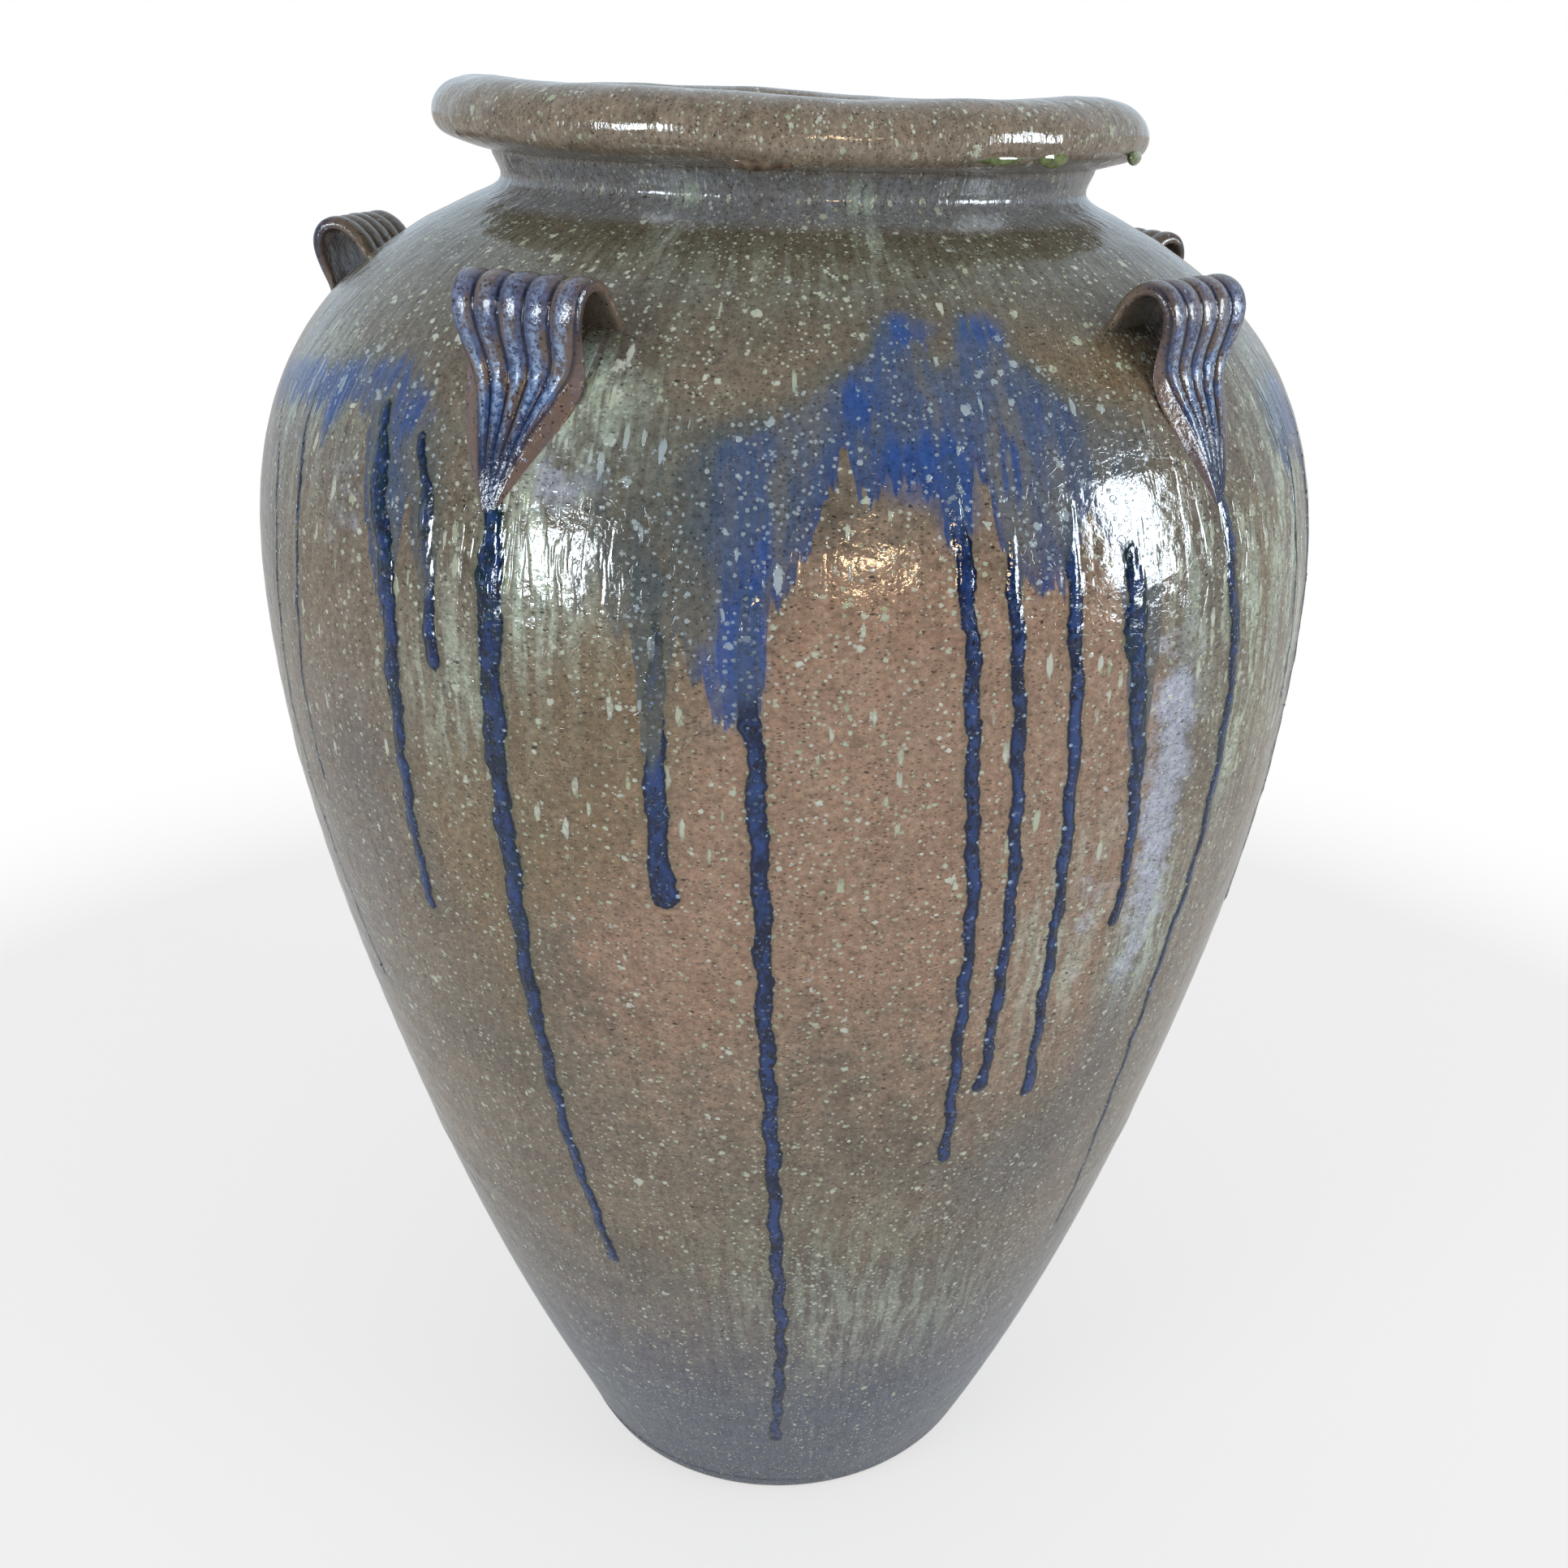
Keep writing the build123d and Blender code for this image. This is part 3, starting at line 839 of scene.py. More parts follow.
# %% Rows of points
columns = 900
rows_inside = 14
all_turns = np.linspace(0, 2 * np.pi, columns, endpoint=False)[None, :]
pattern_radius = 0.2


def turned(radius, height, turn=all_turns):
    """Points at a radius and height, all the way round."""
    radius, height, turn = np.broadcast_arrays(radius, height, turn)
    return np.stack([radius * np.sin(turn), -radius * np.cos(turn), height], -1)


def skin(turn, length):
    """Points of the fired outside."""
    point, normal = outside.at(length)
    push = relief(turn, length)
    return turned(point[..., 0] + normal[..., 0] * push, point[..., 1] + normal[..., 1] * push, turn)


def skin_normals(turn, length):
    """Outward directions of the fired outside."""
    nudge = 0.0004
    aside = nudge / pattern_radius
    around = skin(turn + aside, length) - skin(turn - aside, length)
    upward = skin(turn, length + nudge) - skin(turn, length - nudge)
    normal = np.cross(around, upward)
    return normal / np.linalg.norm(normal, axis=-1, keepdims=True)


def inner_skin(lengths):
    """Points of the inside wall, with the finger rings that nobody smoothed away."""
    point, normal = inside.at(lengths)
    rings = 0.0005 * np.sin(2 * np.pi * lengths / 0.019 + all_turns)
    rings = rings * soft_step(inside.length - lengths, 0.03, 0.08)
    return turned(point[..., 0] + normal[..., 0] * rings, point[..., 1] + normal[..., 1] * rings)


def seam_row(length, at_floor=False):
    """Crest of the seam inside the wall at a length up the outside."""
    point, normal = outside.at(length)
    way = np.array([0.0, 1.0]) if at_floor else np.array([-normal[1], normal[0]])
    middle = point - normal * wall_thickness / 2 + way * seam_ridge
    return turned(middle[:1, None], middle[1:, None])


print("a row is", columns, "points round the jar")

# %% [markdown]
# Rows become a mesh once faces link them. Its normals are worked out too, and not left to
# Blender: they run on from piece to piece, and so hide the joints in the gloss. The marks go
# along as attributes of the mesh.


# %% From rows to meshes
def link_rows(count, closed):
    """Four sided faces between rows of points, and from the last row to the first if closed."""
    rows = np.arange(count if closed else count - 1)[:, None]
    places = np.arange(columns)[None, :]
    beside = (places + 1) % columns
    above_row = (rows + 1) % count
    here, there = rows * columns, above_row * columns
    corners = [here + places, here + beside, there + beside, there + places]
    return np.stack(corners, -1).reshape(-1, 4).tolist()


def write_marks(mesh, points, marks):
    """Stores marks on a mesh: vectors where they have as many axes as the points, or numbers."""
    for mark, values in marks.items():
        kind, field = ("FLOAT_VECTOR", "vector") if values.ndim == points.ndim else ("FLOAT", "value")
        values = np.ascontiguousarray(values, np.float32).ravel()
        mesh.attributes.new(mark, kind, "POINT").data.foreach_set(field, values)


def smooth_mesh(name, points, faces, normals, marks):
    """An object at the origin from points and faces, smooth, with its marks as attributes."""
    mesh = bpy.data.meshes.new(name)
    mesh.from_pydata(points.reshape(-1, 3).tolist(), [], faces)
    mesh.polygons.foreach_set("use_smooth", [True] * len(mesh.polygons))
    write_marks(mesh, points, marks)
    if normals is not None:
        mesh.normals_split_custom_set_from_vertices(normals.reshape(-1, 3).tolist())
    mesh.update()
    return place_object(name, mesh)


def grid_normals(points):
    """Outward directions of rows that close on themselves."""
    around = np.roll(points, -1, 1) - np.roll(points, 1, 1)
    upward = np.roll(points, -1, 0) - np.roll(points, 1, 0)
    normal = np.cross(around, upward)
    return normal / np.maximum(np.linalg.norm(normal, axis=-1, keepdims=True), 1e-9)


# %% [markdown]
# Four pieces of the wall are made the same way and differ only in where they begin and end.
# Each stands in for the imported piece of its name.


# %% The thrown sections
def rows_of_marks(outer_lengths, other_lengths):
    """Marks of the outside rows, and plain ones for the rows within the wall and inside it."""
    marks = glaze_marks(all_turns, outer_lengths[:, None])
    plain = {"run_mm": -far * 1000, "wash_mm": -far * 1000, "inside": 1.0}
    for name, values in marks.items():
        rest = np.full((len(other_lengths), columns), plain.get(name, 0.0))
        marks[name] = np.vstack([values, rest])
    lengths = np.concatenate([outer_lengths, other_lengths])[:, None]
    marks["flow"] = turned(pattern_radius, lengths)
    return marks


def dress(made, node):
    """The made piece stands for a packed one from here on."""
    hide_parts(node)
    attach(made, "root")
    print(made.name, sum(len(face.vertices) - 2 for face in made.data.polygons), "triangles")
    return made


def wall_piece(node, low, high, outer_count):
    """The closed mesh of a thrown section between two lengths up the outside."""
    at_floor = low == floor_length
    at_neck = high == outside.length
    outer_lengths = np.linspace(low, high, outer_count)
    ends, ways = outside.at(np.array([low, high]))
    inner_low, inner_high = inside.length_at((ends - ways * wall_thickness)[:, 1])
    inner_low = inside.length_at(floor_thickness) if at_floor else inner_low
    inner_high = inside.length_at(neck_edge[1]) if at_neck else inner_high
    inner_lengths = np.linspace(inner_high, inner_low, rows_inside)
    crest = [] if at_neck else [high]
    rows = [skin(all_turns, outer_lengths[:, None]), *(seam_row(length) for length in crest)]
    rows += [inner_skin(inner_lengths[:, None]), seam_row(low, at_floor)]
    points = np.vstack(rows)
    normals = grid_normals(points)
    normals[:outer_count] = skin_normals(all_turns, outer_lengths[:, None])
    marks = rows_of_marks(outer_lengths, np.array([*crest, *inner_lengths, low]))
    made = smooth_mesh(node + "_fired", points, link_rows(len(points), True), normals, marks)
    return dress(made, node)


seam_lengths = [outside.length_at(height) for height in seam_heights.values()]
floor_length = outside.length_at(floor_thickness)
limits = [floor_length, *seam_lengths, outside.length]
row_counts = {"lower_wall": 84, "middle_wall": 84, "shoulder_wall": 84, "neck_collar": 22}
walls = [
    wall_piece(node, low, high, count)
    for (node, count), low, high in zip(row_counts.items(), limits, limits[1:])
]

# %% [markdown]
# ## The foot and the lip
#
# The floor is a slab of clay whose edge was rounded with a sponge, and the lip is a thick coil
# turned outward over the neck. Both are rows round the jar again. The slab needs a point in the
# middle of its two faces, and the lip closes on itself. The lip sags and thickens unevenly, as
# soft clay does when it is rolled over.


# %% Foot slab
centre_radius = 0.012
flat_rows, bend_rows, side_rows = 7, 9, 5
bare_height, bare_fade = 0.004, 0.003


def foot_rows():
    """Radius, height and length up the outside of the slab's rows, from below round to above."""
    flat_edge = foot_radius - foot_edge_radius
    flat = [(radius, 0.0, 0.0) for radius in np.linspace(centre_radius, flat_edge, flat_rows)]
    bend_end = outside.at(foot_edge_radius)[0]
    corners = np.array([(flat_edge, 0), (foot_radius, 0), bend_end])
    bend = []
    for share in np.linspace(0, 1, bend_rows)[1:]:
        weights = np.array([(1 - share) ** 2, 2 * share * (1 - share), share**2])
        bend.append((*(weights @ corners), foot_edge_radius * share))
    side_lengths = np.linspace(foot_edge_radius, floor_length, side_rows)[1:]
    side = [(*outside.at(length)[0], length) for length in side_lengths]
    point, normal = outside.at(floor_length)
    middle = point - normal * wall_thickness / 2 + np.array([0, seam_ridge])
    inner_radius = inside.at(inside.length_at(floor_thickness))[0][0]
    inner_radii = np.linspace(inner_radius, centre_radius, flat_rows)
    above_floor = [(radius, floor_thickness, 0.0) for radius in inner_radii]
    outer = [*flat, *bend, *side]
    return np.array([*outer, (*middle, floor_length), *above_floor]), len(outer)


slab_rows, outer_slab_rows = foot_rows()
slab_points = turned(slab_rows[:, 0:1], slab_rows[:, 1:2])
slab_count = len(slab_rows) * columns
slab_centres = np.array([(0, 0, 0), (0, 0, floor_thickness)])
slab_faces = link_rows(len(slab_rows), False)
last_row = slab_count - columns
for place in range(columns):
    beside = (place + 1) % columns
    slab_faces.append((slab_count, beside, place))
    slab_faces.append((slab_count + 1, last_row + place, last_row + beside))
slab_marks = rows_of_marks(slab_rows[:outer_slab_rows, 2], slab_rows[outer_slab_rows:, 2])
slab_marks["flow"][:flat_rows] = slab_points[:flat_rows]
bareness = soft_step(bare_height - slab_rows[:, 1], 0, bare_fade)
slab_marks["bare"] = np.repeat(bareness[:, None], columns, 1)
for name, values in slab_marks.items():
    flat_values = values.reshape(slab_count, -1)
    slab_marks[name] = np.vstack([flat_values, flat_values[:1], flat_values[-1:]])
    slab_marks[name] = slab_marks[name] if flat_values.shape[1] > 1 else slab_marks[name][:, 0]
slab = smooth_mesh(
    "foot_slab_fired", np.vstack([slab_points.reshape(-1, 3), slab_centres]), slab_faces, None, slab_marks
)
dress(slab, "foot_slab")

# %% Rolled lip
neck_top_radius, neck_top_height = neck_edge
lip_overhang = lip_radius - neck_top_radius
roll_points = [
    (neck_top_radius + lip_overhang * out, neck_top_height + lip_height * up) for out, up in lip_shares
]
roll = Outline(smooth_curve([neck_edge, *roll_points, (mouth_radius, bore_top_height)]))
roll_count = 66
bore_count = 9
shelf_count = 4
# Each row: waves round the lip, how far out and how far up they reach
lip_sags = (
    (1, 0.0006, 0.0008), (2, 0.0012, 0.0009), (3, 0.0007, 0.0008), (5, 0.0004, 0.0005), (9, 0.0002, 0.0003)
)
lip_waves = [(waves, seed.uniform(0, 6.28), out, up) for waves, out, up in lip_sags]


def lip_point(turn, length):
    """Points of the uneven lip, at an angle and a length over the roll."""
    point, normal = roll.at(length)
    held = soft_step(length, 0.0, 0.02) * soft_step(roll.length - length, 0.0, 0.02)
    out = sum(reach * np.sin(waves * turn + start) for waves, start, reach, _ in lip_waves)
    up = sum(reach * np.sin(waves * turn + 2 * start) for waves, start, _, reach in lip_waves)
    knocks = 0.0002 * np.sin(13 * turn + 160 * length) + 0.00008 * np.sin(29 * turn - 230 * length)
    radius = point[..., 0] + held * (out + normal[..., 0] * knocks)
    height = point[..., 1] + held * (up + normal[..., 1] * knocks)
    return turned(radius, height, turn)


roll_lengths = np.linspace(0, roll.length, roll_count)
bore_heights = np.linspace(bore_top_height, neck_top_height, bore_count)[1:, None]
shelf_radii = np.linspace(mouth_radius, neck_top_radius, shelf_count)[1:-1, None]
lip_points = np.vstack([
    lip_point(all_turns, roll_lengths[:, None]),
    turned(mouth_radius, bore_heights),
    turned(shelf_radii, neck_top_height),
])
inner_steps = 0.002 * np.arange(1, bore_count + shelf_count - 2)
lip_lengths = outside.length + np.concatenate([roll_lengths, roll.length + inner_steps])
lip_marks = rows_of_marks(np.full(len(lip_points), outside.length), np.array([]))
lip_marks["flow"][..., 2] = lip_lengths[:, None]
lip_marks["rise"] = lip_marks["rise"] + np.linspace(0.01, 0.1, len(lip_points))[:, None]
lip = smooth_mesh(
    "rim_roll_fired", lip_points, link_rows(len(lip_points), True), grid_normals(lip_points), lip_marks
)
dress(lip, "rim_roll")

# %% [markdown]
# ## The pulled lugs
#
# A lug is a strap of clay pulled with wet fingers, which leave ribs along it. It is folded over
# the cord's space and its lower end is wiped down the shoulder into a thin tail. One tree of
# geometry nodes makes it from a line: it sweeps a ring along the line and then moves the ring's
# points to the ribbed section. The five lugs share the tree and differ in sway, rib height and
# lumps, because each was pulled on its own.

# %% Line of a lug
lug_width = 0.053
lug_root_drop = 0.031
strap_thickness = 0.0034
rib_height = 0.0019
eye_run = 0.020
eye_rise = 0.021
tail_run = 0.052
tail_lean = 0.0045
tail_sink = 0.0016
flank_width = 0.008
strap_steps = 14
# Each row: share of the run, share of the rise, share of the width, share of the flank
arch_shares = (
    (0.0, -0.3, 1.0, 0.0), (-0.08, 0.12, 1.0, 0.0), (-0.14, 0.5, 1.0, 0.0), (-0.08, 0.82, 1.0, 0.0),
    (0.16, 1.0, 1.0, 0.0),
    (0.42, 0.92, 0.99, 0.0), (0.61, 0.66, 0.94, 0.0), (0.80, 0.36, 0.87, 0.1), (1.02, 0.06, 0.77, 0.45),
)
tail_shares = (
    (0.14, -0.7, 0.65, 0.85), (0.38, -1.0, 0.45, 1.0), (0.66, -1.0, 0.26, 0.75), (0.88, -1.2, 0.13, 0.4),
    (1.0, -2.2, 0.07, 0.15)
)


def soften(values, reach=15):
    """Values along the line, each the mean of its neighbours within a reach."""
    span = 2 * reach + 1
    return np.convolve(np.pad(values, reach, mode="edge"), np.full(span, 1 / span), mode="valid")


def strap_line(name, degrees, sway):
    """A line down the middle of a lug's inner face. Its points know the section there."""
    turn = math.radians(degrees)
    root_length = outside.length_at(shoulder_top_height - lug_root_drop)
    arch = [(eye_run * run, eye_rise * rise, 0.0, *section) for run, rise, *section in arch_shares]
    tail = [
        (eye_run + tail_run * run, tail_sink * sink, tail_lean * run, *section)
        for run, sink, *section in tail_shares
    ]
    stations = np.array(arch + tail)
    lengths = root_length - stations[:, 0]
    feet, ways = outside.at(lengths)
    lifts = stations[:, 1] + unevenness(turn, lengths)
    line = smooth_curve(feet + ways * lifts[:, None], steps=strap_steps)
    places = np.linspace(0, len(stations) - 1, len(line))
    lean, width, flank = (np.interp(places, np.arange(len(stations)), column) for column in stations.T[2:])
    line = np.stack([soften(line[:, 0]), soften(line[:, 1])], -1)
    down = np.gradient(line, axis=0)
    down = down / np.linalg.norm(down, axis=1)[:, None]
    aside = np.array([math.cos(turn), math.sin(turn), 0.0])
    ahead = np.array([math.sin(turn), -math.cos(turn), 0.0])
    drift = sway * np.sin(np.pi * places / places[-1]) - soften(lean)
    upright = np.array([0.0, 0.0, 1.0])
    points = ahead * line[:, :1] + upright * line[:, 1:] + aside * drift[:, None]
    outward = ahead * -down[:, 1:] + upright * down[:, :1]
    mesh = bpy.data.meshes.new(name)
    mesh.from_pydata(points.tolist(), [(i, i + 1) for i in range(len(points) - 1)], [])
    marks = {"centre": points, "outward": outward, "aside": np.broadcast_to(aside, points.shape)}
    marks.update(half_width=soften(width) * lug_width / 2, flank=soften(flank) * flank_width)
    marks["along"] = places / places[-1]
    write_marks(mesh, points, marks)
    return place_object(name, mesh)


print("a lug follows", len(arch_shares) + len(tail_shares), "stations over its eye and down its tail")

# %% [markdown]
# A geometry tree needs named inputs with defaults at its start, and at its end smooth faces,
# real copies and a material. Both ends are the same for the lugs and for the blisters. The
# shaders' groups start the same way.


# %% Helpers for geometry trees
def node_group(kind, name, inputs, outputs):
    """A node group. Sockets are given as label: (kind, default). Returns it and its two ends."""
    group = bpy.data.node_groups.new(name, kind)
    for way, sockets in (("INPUT", inputs), ("OUTPUT", outputs)):
        for label, (socket_kind, value) in sockets.items():
            socket = group.interface.new_socket(label, in_out=way, socket_type="NodeSocket" + socket_kind)
            if value is not None:
                socket.default_value = value
    return group, group.nodes.new("NodeGroupInput").outputs, group.nodes.new("NodeGroupOutput").inputs


def geometry_tree(name, inputs):
    """A geometry tree with a geometry socket at each end and named inputs with defaults."""
    geometry = {"Geometry": ("Geometry", None)}
    return node_group("GeometryNodeTree", name, {**geometry, **inputs}, geometry)


def named(tree, name, data_type="FLOAT"):
    """An attribute that the geometry carries."""
    return add_node(
        tree, "GeometryNodeInputNamedAttribute", {"Name": name}, data_type=data_type
    ).outputs["Attribute"]


def keep(tree, geometry, name, value):
    """Stores a value on every point under a name."""
    inputs = {"Geometry": geometry, "Name": name, "Value": value}
    kept = add_node(tree, "GeometryNodeStoreNamedAttribute", inputs, data_type="FLOAT", domain="POINT")
    return kept.outputs[0]


def finish_tree(tree, ending, geometry, material):
    """Ends a tree: smooth faces, real copies, one material."""
    geometry = add_node(tree, "GeometryNodeSetShadeSmooth", {"Geometry": geometry}).outputs[0]
    geometry = add_node(tree, "GeometryNodeRealizeInstances", {"Geometry": geometry}).outputs[0]
    geometry = add_node(
        tree, "GeometryNodeSetMaterial", {"Geometry": geometry, "Material": material}
    ).outputs[0]
    tree.links.new(geometry, ending["Geometry"])


def bake(made, tree, values):
    """Runs a tree on an object and leaves the result as a plain mesh."""
    modifier = made.modifiers.new(tree.name, "NODES")
    modifier.node_group = tree
    for item in tree.interface.items_tree:
        if item.in_out == "INPUT" and item.name in values:
            modifier[item.identifier] = values[item.name]
    depsgraph = bpy.context.evaluated_depsgraph_get()
    mesh = bpy.data.meshes.new_from_object(made.evaluated_get(depsgraph))
    made.modifiers.remove(modifier)
    old = made.data
    made.data = mesh
    bpy.data.meshes.remove(old)
    mesh.name = made.name
    return made


# %% [markdown]
# The ring's points are counted from 0 to 1. The first three quarters become the ribbed face and
# the rest goes back along the inner face, so the ribs get most of the points.

# %% Section of the strap
ring_points = 150
ribbed_share = 0.74
strap_tree, given, ending = geometry_tree("ribbed_strap", {
    "Thickness": ("Float", strap_thickness), "Rib Height": ("Float", rib_height), "Ribs": ("Float", 5.0),
    "Lump Height": ("Float", 0.0006), "Seed": ("Float", 0.0), "Glaze": ("Material", None),
})
tree = strap_tree
ring = add_node(
    tree, "GeometryNodeCurvePrimitiveCircle", {"Resolution": ring_points, "Radius": 0.002}
).outputs[0]
ring = keep(tree, ring, "around", tree.nodes.new("GeometryNodeSplineParameter").outputs["Factor"])
spine = add_node(tree, "GeometryNodeMeshToCurve", {"Mesh": given["Geometry"]}).outputs[0]
tube = add_node(
    tree, "GeometryNodeCurveToMesh", {"Curve": spine, "Profile Curve": ring, "Fill Caps": True}
).outputs[0]

around, along = named(tree, "around"), named(tree, "along")
is_inner = calc(tree, "GREATER_THAN", around, ribbed_share)
outer_place = scaled(tree, around, 2 / ribbed_share, -1.0)
inner_place = scaled(tree, around, -2 / (1 - ribbed_share), 2 / (1 - ribbed_share) - 1)
across = add_node(
    tree, "ShaderNodeMix", {0: is_inner, 2: outer_place, 3: inner_place}, data_type="FLOAT"
).outputs[0]
half_width, flank = named(tree, "half_width"), named(tree, "flank")
full_width = calc(tree, "ADD", half_width, flank)
aside_by = product(tree, across, full_width)
lengthwise = product(tree, along, 0.09)
where = add_node(
    tree, "ShaderNodeCombineXYZ", {"X": lengthwise, "Y": aside_by, "Z": given["Seed"]}
).outputs[0]
lumps = add_node(tree, "ShaderNodeTexNoise", {"Vector": where, "Scale": 95.0, "Detail": 2.0}).outputs["Fac"]
lumps = calc(tree, "SUBTRACT", lumps, 0.5)
print("the ribbed face has", round(ring_points * ribbed_share), "points across and the inner face the rest")

# %% [markdown]
# A rib is the upper half of a sine wave, squared up a little: round crests and narrow grooves,
# as fingers leave them. The ribs fade where the strap narrows to its tail and at its root.

# %% Ribs of the strap
width_share = calc(tree, "DIVIDE", aside_by, product(tree, half_width, 2.0))
rib_turns = product(tree, width_share, given["Ribs"])
rib_drift = add_node(
    tree, "ShaderNodeTexNoise", {"Vector": where, "Scale": 26.0, "Detail": 1.0}
).outputs["Fac"]
rib_turns = calc(tree, "ADD", rib_turns, scaled(tree, rib_drift, 0.5, 0.25))
rib = calc(tree, "SINE", product(tree, rib_turns, math.pi))
rib = calc(tree, "POWER", calc(tree, "ABSOLUTE", rib), 0.55)
on_ribs = step(tree, calc(tree, "SUBTRACT", half_width, calc(tree, "ABSOLUTE", aside_by)), -0.0012, 0.0022)
narrow = step(tree, half_width, 0.003, 0.019)
rib_lift = product(tree, rib, on_ribs, narrow, given["Rib Height"])
rib_lift = product(tree, rib_lift, step(tree, along, 0.02, 0.16, 0.55, 1.0))

# %% [markdown]
# The strap's edges are rounded over, and it thins on its flanks, where it was wiped onto the
# shoulder. Then each point of the ring moves to its place beside and above the line.

# %% Edges of the strap
edge_round = 0.0020
edge_gap = calc(tree, "SUBTRACT", full_width, calc(tree, "ABSOLUTE", aside_by))
edge_width = calc(tree, "MINIMUM", product(tree, full_width, 0.5), edge_round)
edge_share = calc(tree, "DIVIDE", edge_gap, edge_width, clamp=True)
edge_fall = calc(tree, "POWER", calc(tree, "SUBTRACT", 1.0, edge_share), 2.0)
edge_fall = calc(tree, "SQRT", calc(tree, "SUBTRACT", 1.0, edge_fall))
thinning = step(tree, edge_gap, 0.0, calc(tree, "MAXIMUM", flank, 0.0001), 0.45, 1.0)
thickness = product(tree, given["Thickness"], thinning)
half_thick = product(tree, thickness, 0.5)
side_sign = scaled(tree, is_inner, -2.0, 1.0)
height = scaled(tree, product(tree, half_thick, edge_fall), side_sign, half_thick)
face_lift = scaled(tree, lumps, given["Lump Height"], rib_lift)
outer_only = calc(tree, "SUBTRACT", 1.0, is_inner)
height = scaled(tree, product(tree, face_lift, outer_only), edge_fall, height)
centre, aside, outward = (named(tree, name, "FLOAT_VECTOR") for name in ("centre", "aside", "outward"))
placed = calc_vector(tree, "ADD", centre, calc_vector(tree, "SCALE", aside, aside_by))
placed = calc_vector(tree, "ADD", placed, calc_vector(tree, "SCALE", outward, height))
for name, value in (("across", across), ("rib", product(tree, rib, on_ribs)), ("inner_face", is_inner)):
    tube = keep(tree, tube, name, value)
tube = add_node(tree, "GeometryNodeSetPosition", {"Geometry": tube, "Position": placed}).outputs[0]
tube = add_node(tree, "GeometryNodeFlipFaces", {"Mesh": tube}).outputs[0]
finish_tree(tree, ending, tube, given["Glaze"])
print("the strap's tree has", len(tree.nodes), "nodes")

# %% The five lugs
lump_height = 0.0008
lugs = []
for number, (name, degrees) in enumerate(lug_degrees.items()):
    lug = strap_line(name + "_pulled", degrees, seed.uniform(-0.001, 0.001))
    own_ribs = rib_height * seed.uniform(0.9, 1.0)
    bake(lug, strap_tree, {"Seed": 0.31 * number + 0.1, "Rib Height": own_ribs, "Lump Height": lump_height})
    dress(lug, name)
    lugs.append(lug)

# %% [markdown]
# ## Blisters
#
# Gas boiled out of the thick cobalt and left small blisters along the runs. There are nearly a
# thousand, so geometry nodes scatter them: the tree takes a wall, picks the places that lie
# inside a run, and puts a flattened ball of eighty faces on each.

# %% Blisters on the runs
blister_tree, given, ending = geometry_tree("run_blisters", {
    "Per Square Metre": ("Float", 30000.0), "Radius": ("Float", 0.0007), "Flatness": ("Float", 0.45),
    "Least Depth": ("Float", 0.9),
    "Seed": ("Int", 4), "Glaze": ("Material", None),
})
tree = blister_tree
in_run = calc(tree, "GREATER_THAN", named(tree, "run_mm"), given["Least Depth"])
density = product(tree, in_run, given["Per Square Metre"])
scatter_inputs = {"Mesh": given["Geometry"], "Density": density, "Seed": given["Seed"]}
scatter = add_node(tree, "GeometryNodeDistributePointsOnFaces", scatter_inputs)
ball = add_node(tree, "GeometryNodeMeshIcoSphere", {"Radius": 1.0, "Subdivisions": 2}).outputs[0]
size_limits = {"Min": 0.35, "Max": 1.0, "Seed": given["Seed"]}
sizes = add_node(tree, "FunctionNodeRandomValue", size_limits, data_type="FLOAT").outputs["Value"]
radius = product(tree, sizes, given["Radius"])
flat_radius = product(tree, radius, given["Flatness"])
scale = add_node(tree, "ShaderNodeCombineXYZ", {"X": radius, "Y": radius, "Z": flat_radius}).outputs[0]
copies = {
    "Points": scatter.outputs["Points"], "Instance": ball, "Rotation": scatter.outputs["Rotation"],
    "Scale": scale
}
balls = add_node(tree, "GeometryNodeInstanceOnPoints", copies).outputs[0]
finish_tree(tree, ending, balls, given["Glaze"])

blisters = []
for number, wall in enumerate(walls[:3]):
    made = place_object(wall.name.replace("_fired", "_blisters"), wall.data.copy())
    bake(made, blister_tree, {"Seed": 4 + number})
    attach(made, "root")
    blisters.append(made)
    print(made.name, len(made.data.polygons), "faces")

# %% [markdown]
# ## Drops under the lip
#
# The glaze gathered under the lip before it set: three green beads on the right and a brown sag in
# the middle. Each is a flattened ball that sinks into the lower front of the lip.

# %% Drops
# Each row: degrees from the front, radius, height, half size round the jar, outwards and up
lip_drops = {
    "green_beads": (
        (68.5, 0.1480, 0.6800, 0.0110, 0.0022, 0.0032), (39.5, 0.1495, 0.6812, 0.0085, 0.0018, 0.0040),
        (29.5, 0.1490, 0.6805, 0.0110, 0.0016, 0.0022)
    ),
    "brown_sag": (
        (-5.5, 0.1450, 0.6775, 0.0100, 0.0032, 0.0034), (-2.0, 0.1450, 0.6780, 0.0055, 0.0030, 0.0030)
    ),
}


def drops_piece(name, rows):
    """One piece of squashed balls under the lip."""
    shape = bmesh.new()
    for degrees, radius, height, half_round, half_out, half_up in rows:
        turn = math.radians(degrees)
        place = Matrix.Translation((radius * math.sin(turn), -radius * math.cos(turn), height))
        size = Matrix.Diagonal((half_round, half_out, half_up, 1.0))
        stance = place @ Matrix.Rotation(turn, 4, "Z") @ size
        bmesh.ops.create_icosphere(shape, subdivisions=3, radius=1.0, matrix=stance)
    mesh = bpy.data.meshes.new(name)
    shape.to_mesh(mesh)
    shape.free()
    mesh.polygons.foreach_set("use_smooth", [True] * len(mesh.polygons))
    made = place_object(name, mesh)
    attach(made, "root")
    print(name, "from", len(rows), "balls")
    return made


green_beads, brown_sag = (drops_piece(name, rows) for name, rows in lip_drops.items())

